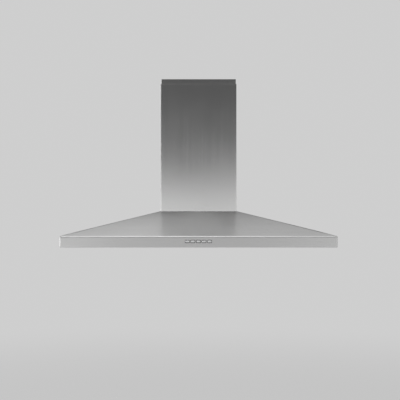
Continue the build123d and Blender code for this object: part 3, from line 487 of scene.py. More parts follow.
def reopen(bm, face, holes):
    """Cuts holes in a flat face. Holes is a list of outlines that lie in it."""
    border = list(face.edges)
    bmesh.ops.delete(bm, geom=[face], context="FACES_ONLY")
    fill(bm, border, *holes)


def largest_face(bm, normal, near):
    """The largest face that looks along normal, either way, near that distance along it.

    The high power of the cosine keeps slanting faces from winning by their size.
    """
    normal = Vector(normal)

    def size(face):
        apart = abs(face.calc_center_median().dot(normal) - near)
        return 0 if apart > SAME_PLANE else abs(face.normal.dot(normal)) ** 8 * face.calc_area()

    bm.normal_update()
    return max(bm.faces, key=size)


def fold(inset, height, radius, start, end, steps):
    """Points of a bend as (inset, height). At 180 degrees it faces outwards, at 90 up."""
    angles = [math.radians(start + (end - start) * step / steps) for step in range(steps + 1)]
    return [(inset + radius * math.cos(angle), height + radius * math.sin(angle)) for angle in angles]


def upright_face(bm, place, wall_y):
    """The face that looks along Y at wall_y and spans place."""
    bm.normal_update()
    for face in bm.faces:
        across = [vert.co.x for vert in face.verts]
        level = abs(face.calc_center_median().y - wall_y) < MERGE
        if level and abs(face.normal.y) > SQUARE_ON and min(across) < place < max(across):
            return face


def loft(bm, edges, levels, half_width, depth, about=(0, 0, 0)):
    """Draws a plan outline through levels of (side inset, front inset, height); returns the last."""
    side, front, height = levels[0]
    for next_side, next_front, next_height in levels[1:]:
        scale = ((half_width - next_side) / (half_width - side), (depth - next_front) / (depth - front), 1)
        edges = extend(bm, edges, scale, (0, 0, next_height - height), about)
        side, front, height = next_side, next_front, next_height
    return edges


def copied(node_name):
    """A CAD piece's shape, merged, with its flat faces whole."""
    bm = bmesh.new()
    bm.from_mesh(frame["nodes"][node_name].data)
    bmesh.ops.remove_doubles(bm, verts=bm.verts, dist=CAD_MERGE)
    bmesh.ops.dissolve_limit(
        bm,
        angle_limit=FLAT_ANGLE,
        use_dissolve_boundaries=False,
        verts=bm.verts,
        edges=bm.edges,
        delimit=set(),
    )
    return bm


def finished(bm, node_name, width=0.0):
    """Eases the sharp edges of a shape by width, and puts it in its node's place."""
    if width:
        ease_sharp(bm, width)
    body = frame["nodes"][node_name]["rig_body"]
    piece(bm, f"{node_name}_finished", body, slot_of[node_name], [node_name], oriented=True)


# ---------------------------------------------------------------- canopy
RIM_HEIGHT = 36.0 * MM
RIM_FOLD = 1.5 * MM
SHOULDER = 4.5 * MM
DECK_FOLD = 3.0 * MM
RIM_CORNER = 6.0 * MM
FLANGE = 12.0 * MM
FOLDED_EDGE = 0.2 * MM
APERTURE = (14.6 * MM, 9.2 * MM)
APERTURE_CORNER = 2.2 * MM
button_low, button_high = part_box("push_button_3")
button_level = (button_low.z + button_high.z) / 2
BUTTONS = range(1, 6)
button_places = [sum(corner.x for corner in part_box(f"push_button_{number}")) / 2 for number in BUTTONS]
rim_top = base + RIM_HEIGHT
front_run = hood_depth - chimney_depth
side_run = hood_half - chimney_half
side_ratio = side_run / front_run
slope_angle = math.atan2(deck - rim_top, front_run)


def canopy_levels():
    """The shell's section, from the flange under the rim, over the slope, to the seat of the chimney."""
    shoulder_turn = math.radians(90) - slope_angle
    shoulder_start = rim_top - SHOULDER * math.tan(shoulder_turn / 2)
    incline = 90 + math.degrees(slope_angle)
    deck_start = front_run + DECK_FOLD * math.tan(slope_angle / 2)
    lower = [(FLANGE, base)] + fold(RIM_FOLD, base + RIM_FOLD, RIM_FOLD, 270, 180, 4)
    upper = fold(SHOULDER, shoulder_start, SHOULDER, 180, incline, 10)
    upper += fold(deck_start, deck - DECK_FOLD, DECK_FOLD, incline, 90, 3)
    levels = [(inset, inset, height) for inset, height in lower]
    levels += [(inset * side_ratio, inset, height) for inset, height in upper]
    return levels + [(side_run + FLANGE, front_run + FLANGE, deck)]


def open_plan(bm, half_width, depth, height, radius):
    """Plan outline with its two front corners round, open at the wall."""
    corners = [
        (-half_width, 0, height),
        (-half_width, -depth, height),
        (half_width, -depth, height),
        (half_width, 0, height),
    ]
    edges = ring(bm, corners, radius, 6, rounded=[1, 2])
    at_wall = [edge for edge in edges if all(abs(vert.co.y) < MERGE for vert in edge.verts)]
    edges = [edge for edge in edges if edge not in at_wall]
    bmesh.ops.delete(bm, geom=at_wall, context="EDGES")
    return edges


def make_canopy():
    """The pyramid and its rim in one folded sheet, with a cut-out for each button."""
    bm = bmesh.new()
    levels = canopy_levels()
    side, front, height = levels[0]
    start = open_plan(bm, hood_half - side, hood_depth - front, height, RIM_CORNER)
    loft(bm, start, levels, hood_half, hood_depth)
    rim = largest_face(bm, (0, 1, 0), near=-hood_depth)
    holes = []
    for place in button_places:
        centre = (place, -hood_depth, button_level)
        holes.append(ring(bm, rectangle((1, 0, 0), (0, 0, 1), centre, *APERTURE), APERTURE_CORNER))
    reopen(bm, rim, holes)
    piece(
        bm, "canopy_skin", "root", "canopy_steel", ["canopy_shell"],
        wall=SHEET, edge=FOLDED_EDGE, outward=(0, -0.3, 1),
    )


make_canopy()

# ---------------------------------------------------------------- chimney
CHIMNEY_CORNER = 2.0 * MM
# how far a cover's sheet comes back along the wall, on each side
RETURN = 15.0 * MM
VENT = (150.0 * MM, 4.0 * MM)
VENT_PITCH = 11.0 * MM
VENT_COUNT = 8
VENT_TOP = 40.0 * MM
# a little less than half a vent's height, so that its ends don't meet in one point
VENT_CORNER = VENT[1] / 2 * 0.99


def make_cover(name, node, body, vented):
    """A folded cover: front, two sides and a return along the wall on each side."""
    low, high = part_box(node)
    bm = bmesh.new()
    centre = ((low.x + high.x) / 2, (low.y + high.y) / 2, low.z)
    corners = rectangle((1, 0, 0), (0, 1, 0), centre, high.x - low.x, high.y - low.y)
    ring(bm, corners, CHIMNEY_CORNER)
    gap = high.x - RETURN
    for place in (-gap, gap):
        near_wall = [edge for edge in bm.edges if all(vert.co.y > high.y - MERGE for vert in edge.verts)]
        geometry = near_wall + list({vert for edge in near_wall for vert in edge.verts})
        bmesh.ops.bisect_plane(bm, geom=geometry, plane_co=(place, 0, 0), plane_no=(1, 0, 0), dist=MERGE)
    middle = [
        edge for edge in bm.edges
        if all(vert.co.y > high.y - MERGE and abs(vert.co.x) < gap + MERGE for vert in edge.verts)
    ]
    bmesh.ops.delete(bm, geom=middle, context="EDGES")
    extend(bm, list(bm.edges), move=(0, 0, high.z - low.z))
    if vented:
        for side in (-1, 1):
            wall = largest_face(bm, (1, 0, 0), near=side * high.x)
            slots = []
            for row in range(VENT_COUNT):
                spot = (side * high.x, centre[1], high.z - VENT_TOP - row * VENT_PITCH)
                corners = rectangle((0, 1, 0), (0, 0, 1), spot, *VENT)
                slots.append(ring(bm, corners, VENT_CORNER, 4))
            reopen(bm, wall, slots)
    piece(bm, name, body, "chimney_steel", [node], wall=SHEET, edge=FOLDED_EDGE, outward=(0, -1, 0))


make_cover("chimney_cover_lower", "chimney_lower", "root", False)
make_cover("chimney_cover_upper", "chimney_upper", "chimney_upper", True)

# ---------------------------------------------------------------- push buttons
CAP = (12.4 * MM, 7.0 * MM)
CAP_CORNER = 1.5 * MM
CAP_DEPTH = 6.0 * MM
CAP_EASE = 0.9 * MM
DISH_MARGIN = 0.3 * MM
DISH_SLOPE = 0.25 * MM
DISH_DEPTH = 0.15 * MM
STEM = (6.0 * MM, 3.6 * MM)
STEM_CORNER = 0.4 * MM
SURROUND = (100.0 * MM, 16.0 * MM)
SURROUND_CORNER = 2.0 * MM
SURROUND_SHEET = 2.0 * MM
SURROUND_PLAY = 0.1 * MM
CAP_PLAY = 0.3 * MM
LIP_WIDTH = 0.4 * MM
LIP_PROUD = 0.3 * MM
LIP_TAPER = 0.3 * MM
LIP_SIDE = 0.1 * MM


def block(bm, corners, move, radius=0.0, steps=5):
    """A closed solid from a flat outline drawn out by move. Returns the outline."""
    edges = plate(bm, corners, radius, steps)[1]
    far = extend(bm, edges, move=move)
    bmesh.ops.edgeloop_fill(bm, edges=far)
    return edges


def make_button(number):
    """A cap with soft edges and a shallow dish for the finger, on its stem."""
    node = f"push_button_{number}"
    low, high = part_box(node)
    place = (low.x + high.x) / 2
    bm = bmesh.new()
    front = rectangle((1, 0, 0), (0, 0, 1), (place, low.y, button_level), *CAP)
    edges = block(bm, front, (0, CAP_DEPTH, 0), CAP_CORNER)
    ease(bm, edges, CAP_EASE, 5)
    face = largest_face(bm, (0, 1, 0), near=low.y)
    bmesh.ops.inset_individual(bm, faces=[face], thickness=DISH_MARGIN)
    bmesh.ops.inset_individual(bm, faces=[face], thickness=DISH_SLOPE, depth=-DISH_DEPTH)
    stem_start = low.y + CAP_DEPTH - SHEET
    back = rectangle((1, 0, 0), (0, 0, 1), (place, stem_start, button_level), *STEM)
    block(bm, back, (0, high.y - stem_start, 0), STEM_CORNER, 2)
    piece(bm, f"button_cap_{number}", f"button_{number}", "button_caps", [node])


for number in BUTTONS:
    make_button(number)


def stepped(bm, outline, centre, steps):
    """Draws an outline through steps of (width, height, y), and returns the last outline."""
    width, height, level = steps[0]
    for next_width, next_height, next_level in steps[1:]:
        scale = (next_width / width, 1, next_height / height)
        outline = extend(bm, outline, scale, (0, next_level - level, 0), centre)
        width, height, level = next_width, next_height, next_level
    return outline


def make_surround():
    """The dark plate behind the rim: each cut-out has its collar, and a thin lip round it."""
    seat = -hood_depth + SHEET
    rear = seat + SURROUND_SHEET
    collar = [size - 2 * SURROUND_PLAY for size in APERTURE]
    lip = [size + 2 * LIP_WIDTH for size in APERTURE]
    crest = [size - LIP_TAPER for size in lip]
    way = [size + 2 * CAP_PLAY for size in CAP]
    rise = -hood_depth - LIP_PROUD
    bm = bmesh.new()
    starts, ends = [], []
    for place in button_places:
        centre = (place, 0, button_level)
        corners = rectangle((1, 0, 0), (0, 0, 1), (place, seat, button_level), *collar)
        start = ring(bm, corners, APERTURE_CORNER - SURROUND_PLAY)
        steps = [
            (*collar, seat),
            (*collar, -hood_depth),
            (*lip, -hood_depth),
            (*lip, rise + LIP_SIDE),
            (*crest, rise),
            (*way, rise),
            (*way, rear),
        ]
        starts.append(start)
        ends.append(stepped(bm, start, centre, steps))
    for level, outlines in ((seat, starts), (rear, ends)):
        corners = rectangle((1, 0, 0), (0, 0, 1), (0, level, button_level), *SURROUND)
        outlines.append(ring(bm, corners, SURROUND_CORNER))
        fill(bm, *outlines)
    bmesh.ops.bridge_loops(bm, edges=starts[-1] + ends[-1])
    piece(bm, "button_surround", "root", "switch_plastic", ["switch_bezel"])


make_surround()

# ---------------------------------------------------------------- underside pan
WELL_CORNER = 4.0 * MM
WELL_FOLD = 1.5 * MM
LEDGE_FOLD = 1.0 * MM
WELL_EDGE = (-405.0 * MM, -83.0 * MM)
WELL_HALF = 404.0 * MM
LAMP_HOLE = 32.0 * MM
PAN_CORNER = 6.0 * MM
SOFT_EDGE = 0.15 * MM
WINDOW_CORNER = 3.0 * MM
SIDE_BAR = 12.0 * MM
FRONT_BAR = 26.0 * MM
NET_MARGIN = 7.0 * MM
TONGUE_SLOT = (32.0 * MM, 4.5 * MM)
TONGUE_CORNER = 1.0 * MM
ROUND_STEPS = 48
SIDES = ("left", "middle", "right")
pan_low, pan_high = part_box("underside_pan")
filter_boxes = {side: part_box(f"filter_frame_{side}") for side in SIDES}
filter_middles = {side: (low.x + high.x) / 2 for side, (low, high) in filter_boxes.items()}
filter_low, filter_high = filter_boxes["middle"]
filter_level = (filter_low.z + filter_high.z) / 2
half_thickness = (filter_high.z - filter_low.z) / 2
filter_front = filter_low.y
filter_rear = filter_high.y
filter_half = (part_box("filter_mesh_middle")[1].x - NET_MARGIN) + SIDE_BAR
window = (2 * (filter_half - SIDE_BAR), filter_rear - SIDE_BAR - filter_front - FRONT_BAR)
window_y = (filter_rear - SIDE_BAR + filter_front + FRONT_BAR) / 2


def make_pan():
    """Floor, well for the filters and the ledge over them with its three windows."""
    bm = bmesh.new()
    middle = sum(WELL_EDGE) / 2
    half_length = (WELL_EDGE[1] - WELL_EDGE[0]) / 2
    floor = pan_low.z
    rows = fold(-WELL_FOLD, floor + WELL_FOLD, WELL_FOLD, 270, 360, 4)
    rows += fold(LEDGE_FOLD, pan_high.z - SHEET - LEDGE_FOLD, LEDGE_FOLD, 180, 90, 3)
    levels = [(inset, inset, height) for inset, height in rows]
    size = (2 * (WELL_HALF + WELL_FOLD), 2 * (half_length + WELL_FOLD))
    well = ring(bm, rectangle((1, 0, 0), (0, 1, 0), (0, middle, floor), *size), WELL_CORNER)
    ledge = loft(bm, well, levels, WELL_HALF, half_length, about=(0, middle, 0))
    windows = []
    for place in filter_middles.values():
        centre = (place, window_y, pan_high.z - SHEET)
        windows.append(ring(bm, rectangle((1, 0, 0), (0, 1, 0), centre, *window), WINDOW_CORNER, 3))
    fill(bm, ledge, *windows)
    centre = (0, (pan_low.y + pan_high.y) / 2, floor)
    size = (pan_high.x - pan_low.x, pan_high.y - pan_low.y)
    corners = rectangle((1, 0, 0), (0, 1, 0), centre, *size)
    border = ring(bm, corners, PAN_CORNER, 5, rounded=[0, 1])
    lamps = []
    for turn in (-1, 1):
        lamps.append(circle(bm, (turn * lamp_place.x, lamp_place.y, floor), LAMP_HOLE, ROUND_STEPS))
    fill(bm, border, well, *lamps)
    slots = []
    for place in filter_middles.values():
        centre = (place, WELL_EDGE[0], filter_level)
        slots.append(ring(bm, rectangle((1, 0, 0), (0, 0, 1), centre, *TONGUE_SLOT), TONGUE_CORNER, 3))
    reopen(bm, largest_face(bm, (0, 1, 0), near=WELL_EDGE[0]), slots)
    piece(
        bm, "pan", "root", "pan_steel", ["underside_pan"],
        wall=SHEET, edge=SOFT_EDGE, outward=(0, 0, -1),
    )


make_pan()

# ---------------------------------------------------------------- grease filters
FRAME_SHEET = 0.5 * MM
FRAME_FOLD = 1.6 * MM
FRAME_CORNER = 1.0 * MM
REAR_FOLD = 4.6 * MM
LIP = 1.2 * MM
# the latch's pocket: its width and length, how far its rear edge lies behind the filter's front, and
# how high its roof stands over the filter's middle
POCKET = (64.0 * MM, 15.8 * MM)
POCKET_BACK = 18.0 * MM
POCKET_TOP = 2.0 * MM
# the slots that the latch's tongue slides through
TONGUE_WAY = (30.2 * MM, 3.4 * MM)
PIN_RADIUS = 2.0 * MM
PIN_REACH = 8.0 * MM
PIN_STEPS = 20
# each layer of expanded metal: diamond length, diamond width, half strand, height of its underside
NETS = (
    (14.0 * MM, 7.0 * MM, 0.7 * MM, -4.0 * MM),
    (8.0 * MM, 11.0 * MM, 0.6 * MM, -2.4 * MM),
    (14.0 * MM, 7.0 * MM, 0.7 * MM, -0.8 * MM),
)
NET_SHEET = 0.7 * MM
LAYER_REACH = 0.1 * MM
# twice the area over the perimeter is the radius of the circle in a diamond: this leaves a margin
NET_ROOM = 1.7


def drawn_in(rise, radius):
    """How far a bend of this radius stands back from the frame's end, at rise from its middle."""
    reach = min(max(rise - (half_thickness - radius), 0.0), radius)
    return radius - math.sqrt(radius**2 - reach**2)


def round_rear(bm):
    """Gives the rear its larger bend, which lets the frame swing in the well."""
    for vert in bm.verts:
        if vert.co.y > filter_rear - FRAME_FOLD - FRAME_CORNER - MERGE:
            rise = abs(vert.co.z - filter_level)
            vert.co.y -= drawn_in(rise, REAR_FOLD) - drawn_in(rise, FRAME_FOLD)


def frame_walls(bm, place, bottom, top):
    """The folded walls of a filter's channel. Returns their lower and upper outlines."""
    middle = (filter_front + filter_rear) / 2
    half_length = (filter_rear - filter_front) / 2
    rows = fold(FRAME_FOLD, bottom + FRAME_FOLD, FRAME_FOLD, 270, 180, 5)
    rows += fold(FRAME_FOLD, top - FRAME_FOLD, FRAME_FOLD, 180, 90, 5)
    levels = [(inset, inset, height) for inset, height in rows]
    size = (2 * (filter_half - FRAME_FOLD), 2 * (half_length - FRAME_FOLD))
    corners = rectangle((1, 0, 0), (0, 1, 0), (place, middle, bottom), *size)
    lower = ring(bm, corners, FRAME_CORNER, 3)
    upper = loft(bm, lower, levels, filter_half, half_length, about=(place, middle, 0))
    round_rear(bm)
    return lower, upper


def add_pins(bm, low, high):
    """The two pins at the rear that a filter hangs by."""
    sheet_faces = set(bm.faces)
    pin_y = filter_rear - half_thickness
    for end, turn in ((low.x, 1), (high.x, -1)):
        pin = circle(bm, (end, pin_y, filter_level), PIN_RADIUS, PIN_STEPS, (turn, 0, 0))
        bmesh.ops.edgeloop_fill(bm, edges=pin)
        tail = extend(bm, pin, move=(turn * PIN_REACH, 0, 0))
        bmesh.ops.edgeloop_fill(bm, edges=tail)
    bmesh.ops.recalc_face_normals(bm, faces=[face for face in bm.faces if face not in sheet_faces])


def make_filter_frame(side):
    """A folded aluminium channel round the net, with the latch's pocket and two pins."""
    place = filter_middles[side]
    bottom = filter_level - half_thickness
    top = filter_level + half_thickness
    bm = bmesh.new()
    lower, upper = frame_walls(bm, place, bottom, top)
    openings = []
    for height, turn in ((bottom, 1), (top, -1)):
        corners = rectangle((1, 0, 0), (0, 1, 0), (place, window_y, height), *window)
        opening = ring(bm, corners)
        extend(bm, opening, move=(0, 0, turn * LIP))
        openings.append(opening)
    pocket_y = filter_front + POCKET_BACK - POCKET[1] / 2
    pocket = ring(bm, rectangle((1, 0, 0), (0, 1, 0), (place, pocket_y, bottom), *POCKET))
    roof = extend(bm, pocket, move=(0, 0, filter_level + POCKET_TOP - bottom))
    fill(bm, roof)
    fill(bm, lower, openings[0], pocket)
    fill(bm, upper, openings[1])
    for wall_y in (filter_front, pocket_y - POCKET[1] / 2):
        way = rectangle((1, 0, 0), (0, 0, 1), (place, wall_y, filter_level), *TONGUE_WAY)
        reopen(bm, upright_face(bm, place, wall_y), [ring(bm, way)])
    thicken(bm, FRAME_SHEET, (0, 0, -1))
    add_pins(bm, *filter_boxes[side])
    piece(
        bm, f"filter_channel_{side}", f"filter_{side}", "filter_aluminium", [f"filter_frame_{side}"],
        edge=SOFT_EDGE, oriented=True,
    )


def room(face):
    """A little less than the radius of the circle that fits in a diamond."""
    return NET_ROOM * face.calc_area() / max(face.calc_perimeter(), MERGE)


def layer(bm, level):
    """The faces at this level, with their edges and corners."""
    faces = [face for face in bm.faces if abs(face.calc_center_median().z - level) < LAYER_REACH]
    return faces + list({part for face in faces for part in (*face.edges, *face.verts)})


def make_filter_net(side):
    """Three layers of expanded metal, their diamonds crossed."""
    place = filter_middles[side]
    bm = bmesh.new()
    reach_x = window[0] / 2 + NET_MARGIN
    reach_y = window[1] / 2 + NET_MARGIN / 2
    for length, width, strand, height in NETS:
        level = filter_level + height
        count = math.ceil(2 * (reach_x / length + reach_y / width)) + 1
        stretch = Matrix.Diagonal((length / math.sqrt(2), width / math.sqrt(2), 1, 1))
        diamond = stretch @ Matrix.Rotation(math.radians(45), 4, "Z")
        spot = Matrix.Translation((place, window_y, level)) @ diamond
        bmesh.ops.create_grid(bm, x_segments=count, y_segments=count, size=count / 2, matrix=spot)
        for axis, centre, reach in ((0, place, reach_x), (1, window_y, reach_y)):
            for turn in (-1, 1):
                point = Vector()
                point[axis] = centre + turn * reach
                normal = Vector()
                normal[axis] = turn
                bmesh.ops.bisect_plane(
                    bm, geom=layer(bm, level), plane_co=point, plane_no=normal, clear_outer=True
                )
        cells = [part for part in layer(bm, level) if isinstance(part, bmesh.types.BMFace)]
        cells = [cell for cell in cells if room(cell) > strand]
        bmesh.ops.inset_individual(bm, faces=cells, thickness=strand, use_even_offset=True)
        bmesh.ops.delete(bm, geom=cells, context="FACES_ONLY")
    net = bmesh.ops.extrude_face_region(bm, geom=bm.faces[:])["geom"]
    moved = [item for item in net if isinstance(item, bmesh.types.BMVert)]
    bmesh.ops.translate(bm, vec=(0, 0, NET_SHEET), verts=moved)
    piece(bm, f"filter_net_{side}", f"filter_{side}", "filter_aluminium", [f"filter_mesh_{side}"])


for side in SIDES:
    make_filter_frame(side)
    make_filter_net(side)

# ---------------------------------------------------------------- lamps
LAMP_BEZEL = (27.0 * MM, 36.0 * MM)
BEZEL_TAPER = 2.0 * MM
BEZEL_EDGE = 0.35 * MM
COLLAR_PLAY = 0.2 * MM
LENS_SEAT = 2.0 * MM
LENS_PLAY = 0.1 * MM
LENS_BULGE = 0.6 * MM
LENS_RIBS = 8
RIB_DEPTH = 0.35 * MM
RIB_PLAY = 0.3 * MM


def turned(bm, profile, centre, radius=0.0, closed=True):
    """Spins a profile of (distance from the axis, height) about the upright axis at centre."""
    points = [Vector((centre[0] + out, centre[1], height)) for out, height in profile]
    if closed:
        edges = ring(bm, points, radius, 3)
    else:
        verts = [bm.verts.new(point) for point in points]
        edges = [bm.edges.new(pair) for pair in zip(verts, verts[1:])]
    verts = list({vert for edge in edges for vert in edge.verts})
    bmesh.ops.spin(
        bm,
        geom=verts + edges,
        cent=(*centre, 0),
        axis=(0, 0, 1),
        angle=2 * math.pi,
        steps=ROUND_STEPS,
        use_merge=True,
    )


def make_lamp_ring(side, centre):
    """The bright ring, with a collar through the pan that holds the glass."""
    low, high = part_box(f"lamp_bezel_{side}")
    inner, outer = LAMP_BEZEL
    collar = LAMP_HOLE - COLLAR_PLAY
    bore = LENS_RADIUS + LENS_PLAY
    seat = low.z + LENS_SEAT
    profile = [
        (inner, low.z),
        (outer - BEZEL_TAPER, low.z),
        (outer, low.z + SHEET),
        (collar, low.z + SHEET),
        (collar, high.z),
        (bore, high.z),
        (bore, seat),
        (inner, seat),
    ]
    bm = bmesh.new()
    turned(bm, profile, centre, BEZEL_EDGE)
    piece(bm, f"lamp_ring_{side}", "root", "lamp_trim", [f"lamp_bezel_{side}"])


def make_lamp_glass(side, centre):
    """A glass disc whose face bulges a little, with rings pressed into it."""
    low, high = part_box(f"lamp_lens_{side}")
    reach = LAMP_BEZEL[0] - RIB_PLAY
    front = []
    for step in range(2 * LENS_RIBS + 1):
        share = step / (2 * LENS_RIBS)
        front.append((reach * share, low.z - LENS_BULGE * (1 - share**2) + (step % 2) * RIB_DEPTH))
    back = [(LENS_RADIUS, low.z), (LENS_RADIUS, high.z), (0, high.z)]
    bm = bmesh.new()
    turned(bm, front + back, centre, closed=False)
    piece(bm, f"lamp_glass_{side}", "root", "lamp_glass", [f"lamp_lens_{side}"])


for side, turn in (("left", -1), ("right", 1)):
    centre = (turn * lamp_place.x, lamp_place.y)
    make_lamp_ring(side, centre)
    make_lamp_glass(side, centre)

# ---------------------------------------------------------------- fan, wiring and fittings
# how much each piece's edges are eased, in millimetres
EASING = {
    "blower_bolts": 0.3,
    "blower_gasket": 0.2,
    "cable_gland": 0.3,
    "canopy_back": 0.2,
    "capacitor": 0.5,
    "chimney_bracket": 0.3,
    "collar_screws": 0.2,
    "control_box": 0.5,
    "control_box_cover": 0.4,
    "damper_flap_front": 0.3,
    "damper_flap_rear": 0.3,
    "deck_plate": 0.2,
    "filter_hangers": 0.2,
    "filter_latch_left": 0.35,
    "filter_latch_middle": 0.35,
    "filter_latch_right": 0.35,
    "flap_rod": 0.4,
    "impeller": 0.2,
    "lamp_bulb_left": 0.2,
    "lamp_bulb_right": 0.2,
    "lamp_housing_left": 0.2,
    "lamp_housing_right": 0.2,
    "lamp_leads": 0.0,
    "lamp_transformer": 0.8,
    "motor": 0.5,
    "motor_bracket": 0.3,
    "motor_shaft": 0.4,
    "outlet_collar": 0.4,
    "scroll_left": 0.5,
    "scroll_right": 0.5,
    "switch_body": 0.4,
    "switch_lead": 0.0,
}
for node_name, width in EASING.items():
    finished(copied(node_name), node_name, width * MM)

SWAGE_MARGIN = 26.0 * MM
SWAGE_CORNER = 12.0 * MM
SWAGE_SLOPE = 2.0 * MM
SWAGE_HEIGHT = 1.4 * MM
RIVET_RADIUS = 2.6 * MM
RIVET_HEIGHT = 1.0 * MM
RIVET_INSET = 10.0 * MM
RIVET_COUNT = 6
RIVET_STEPS = 20
CASING_EDGE = 0.5 * MM


def swage(bm, face):
    """Presses a panel out of a flat face, its corners round."""
    bmesh.ops.inset_individual(bm, faces=[face], thickness=SWAGE_MARGIN)
    middle = face.calc_center_median()
    ease(bm, list(face.verts), SWAGE_CORNER, 5, "VERTICES")
    face = min(bm.faces, key=lambda other: (other.calc_center_median() - middle).length)
    bmesh.ops.inset_individual(bm, faces=[face], thickness=SWAGE_SLOPE, depth=SWAGE_HEIGHT)


def rivet(bm, place, facing):
    """A low domed head, half sunk in its sheet."""
    squash = Matrix.Diagonal((1, 1, RIVET_HEIGHT / RIVET_RADIUS, 1))
    spot = Matrix.Translation(place) @ turn_to(facing) @ squash
    bmesh.ops.create_uvsphere(
        bm, u_segments=RIVET_STEPS, v_segments=RIVET_STEPS // 2, radius=RIVET_RADIUS, matrix=spot
    )


def make_casing():
    """The blower's box: a pressed panel in its back, and the rivets of its folded seams."""
    low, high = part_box("blower_box")
    bm = copied("blower_box")
    swage(bm, largest_face(bm, (0, 1, 0), near=high.y))
    ease_sharp(bm, CASING_EDGE)
    run = high.z - low.z - 2 * RIVET_INSET
    for seam in (low.x + RIVET_INSET, high.x - RIVET_INSET):
        for number in range(RIVET_COUNT):
            rise = low.z + RIVET_INSET + run * number / (RIVET_COUNT - 1)
            rivet(bm, (seam, high.y, rise), (0, 1, 0))
    finished(bm, "blower_box")


make_casing()

# ---------------------------------------------------------------- stage
CAMERA_PLACE = (0.005, -3.5, 0.103)
CAMERA_LENS = 83.9
SENSOR_WIDTH = 36.0
FLOOR_LEVEL = -1.0
FLOOR_RADIUS = 7.0
# how far out, in shares of its radius, the floor starts to fade, and where it is gone
FLOOR_FADE = (0.25, 0.7)
FLOOR_GLOW = 0.6
BACKGROUND = (0.62, 0.62, 0.62, 1.0)
CLOTH_RADIUS = 6.0
CLOTH_FOOT = -0.9
CLOTH_FULL = 2.1
CLOTH_TOP = 8.5
# the cloth's head fades over CLOTH_BLEND, and hangs lower by CLOTH_DROP behind the hood
CLOTH_BLEND = 1.2
CLOTH_DROP = 4.9
# how much the cloth hides, and how bright it is, from its foot up to CLOTH_FULL
CLOTH_COVER = [(0.0, 0.0), (0.27, 1.0), (1.0, 1.0)]
CLOTH_TONES = [
    (0.0, 0.8),
    (0.22, 0.8),
    (0.28, 1.0),
    (0.32, 1.0),
    (0.36, 0.6),
    (0.41, 0.29),
    (0.46, 0.2),
    (0.5, 0.165),
    (0.55, 0.14),
    (0.6, 0.11),
    (0.66, 0.08),
    (0.76, 0.14),
    (1.0, 0.06),
]
# the cloth grows pale again between these heights, up to this tone
CLOTH_LIFT = (2.4, 4.4)
CLOTH_HEAD = 0.3
FLAG_GAP = 0.02
FLAG_FOOT = 0.0
FLAG_TOP = 0.34
FLAG_HALF = 1.1
# how much of the flag's height hides what is behind it
FLAG_COVER = [(0.0, 1.0), (0.6, 1.0), (1.0, 0.0)]
FLAG_COLOUR = (0.05, 0.05, 0.05, 1.0)
# each softbox: its place, what it looks at, its width and height, and its power in watts
SOFTBOXES = {
    "overhead": ((-0.3, -0.5, 2.6), (0, -0.3, 0), (3.4, 2.2), 22.0),
    "left": ((-2.65, -4.55, -0.1), (0, -0.5, -0.03), (4.2, 1.3), 12.0),
    "right": ((2.75, -4.5, -0.1), (0, -0.5, -0.03), (4.2, 1.3), 10.5),
    "side": ((-2.6, -0.9, 0.5), (0, -0.2, 0.2), (0.8, 1.8), 14.0),
}


def make_camera():
    lens = bpy.data.cameras.new("camera")
    lens.lens = CAMERA_LENS
    lens.sensor_width = SENSOR_WIDTH
    camera = bpy.data.objects.new("camera", lens)
    camera.location = CAMERA_PLACE
    camera.rotation_euler = (math.radians(90), 0, 0)
    bpy.context.scene.collection.objects.link(camera)
    bpy.context.scene.camera = camera


def seen_directly(graph):
    """1 for rays that see the stage itself: from the camera, in gloss and through glass."""
    path = graph.tree.nodes.new("ShaderNodeLightPath")
    seen = Value(graph, path.outputs["Is Camera Ray"]) + Value(graph, path.outputs["Is Glossy Ray"])
    return (seen + Value(graph, path.outputs["Is Transmission Ray"])).at_most(1.0)


def make_world():
    world = bpy.data.worlds.new("studio")
    bpy.context.scene.world = world
    world.use_nodes = True
    light = world.node_tree.nodes["Background"]
    light.inputs["Color"].default_value = BACKGROUND
    light.inputs["Strength"].default_value = 1.0


def bare_material(name):
    """A material with no shader yet, and its graph."""
    made = bpy.data.materials.new(name)
    made.use_nodes = True
    graph = Graph(made.node_tree)
    graph.tree.nodes.clear()
    return made, graph


def staged(bm, name, finish):
    mesh = bpy.data.meshes.new(name)
    bm.to_mesh(mesh)
    bm.free()
    mesh.materials.append(finish)
    made = bpy.data.objects.new(name, mesh)
    bpy.context.scene.collection.objects.link(made)
    return made


def only_in_gloss(made):
    """Leaves a piece of the stage to reflections: it isn't seen, lights nothing and casts no shadow."""
    made.visible_camera = False
    made.visible_diffuse = False
    made.visible_shadow = False


def make_floor():
    bm = bmesh.new()
    spot = Matrix.Translation((0, -hood_depth / 2, FLOOR_LEVEL))
    bmesh.ops.create_circle(bm, cap_ends=True, segments=64, radius=FLOOR_RADIUS, matrix=spot)
    finish, graph = bare_material("floor")
    pale = graph.node("ShaderNodeBsdfDiffuse", inputs={"Color": BACKGROUND})
    lit = graph.mixed(seen_directly(graph) * FLOOR_GLOW, pale, graph.emission(BACKGROUND))
    where = graph.node("ShaderNodeTexCoord", output="Object")
    reach = graph.node("ShaderNodeVectorMath", {"operation": "LENGTH"}, {0: where}, output="Value")
    start, end = (FLOOR_RADIUS * share for share in FLOOR_FADE)
    fade = graph.between(reach, start, end, kind="SMOOTHSTEP")
    under = graph.node("ShaderNodeNewGeometry", output="Backfacing")
    graph.surface(graph.mixed(fade.at_least(under), lit, graph.clear()))
    staged(bm, "floor", finish)


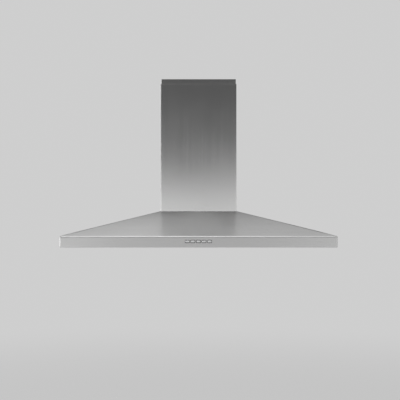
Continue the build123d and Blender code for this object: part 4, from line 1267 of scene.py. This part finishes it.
def make_cloth():
    """A cloth hung round the studio, lit along its foot: the metal shows it, the camera doesn't."""
    bm = bmesh.new()
    spot = Matrix.Translation((0, -hood_depth / 2, CLOTH_FOOT))
    verts = bmesh.ops.create_circle(bm, segments=96, radius=CLOTH_RADIUS, matrix=spot)["verts"]
    foot = list({edge for vert in verts for edge in vert.link_edges})
    extend(bm, foot, move=(0, 0, CLOTH_TOP - CLOTH_FOOT))
    finish, graph = bare_material("cloth")
    rise = graph.coordinate(2)
    share = graph.between(rise, CLOTH_FOOT, CLOTH_FULL)
    drop = graph.between(graph.coordinate(1), -CLOTH_RADIUS, 0.0, 0.0, CLOTH_DROP)
    blend = graph.between(rise + drop, CLOTH_TOP - CLOTH_BLEND, CLOTH_TOP, 1.0, 0.0, "SMOOTHSTEP")
    head = graph.between(rise, *CLOTH_LIFT, 0.0, CLOTH_HEAD, "SMOOTHSTEP")
    cloth = graph.emission(head.at_least(graph.stops(share, CLOTH_TONES)))
    graph.surface(graph.mixed(graph.stops(share, CLOTH_COVER) * blend, graph.clear(), cloth))
    only_in_gloss(staged(bm, "cloth", finish))


def make_flag():
    """A dark board low behind the hood, where its wall would be: only the front's metal shows it."""
    bm = bmesh.new()
    centre = (0, FLAG_GAP, (FLAG_FOOT + FLAG_TOP) / 2)
    plate(bm, rectangle((1, 0, 0), (0, 0, 1), centre, 2 * FLAG_HALF, FLAG_TOP - FLAG_FOOT))
    finish, graph = bare_material("flag")
    share = graph.between(graph.coordinate(2), FLAG_FOOT, FLAG_TOP)
    behind = graph.node("ShaderNodeNewGeometry", output="Backfacing")
    cover = graph.stops(share, FLAG_COVER) * (1 - behind)
    graph.surface(graph.mixed(cover, graph.clear(), graph.emission(FLAG_COLOUR)))
    only_in_gloss(staged(bm, "flag", finish))


def softbox(name, place, aim, size, power):
    """A rectangular lamp at place that looks at aim."""
    lamp = bpy.data.lights.new(name, "AREA")
    lamp.shape = "RECTANGLE"
    lamp.size, lamp.size_y = size
    lamp.energy = power
    made = bpy.data.objects.new(name, lamp)
    made.location = place
    made.rotation_euler = (Vector(aim) - Vector(place)).to_track_quat("-Z", "Y").to_euler()
    made.visible_camera = False
    bpy.context.scene.collection.objects.link(made)


make_camera()
make_world()
make_floor()
make_cloth()
make_flag()
for name, settings in SOFTBOXES.items():
    softbox(name, *settings)
bpy.context.scene.view_settings.view_transform = "Standard"
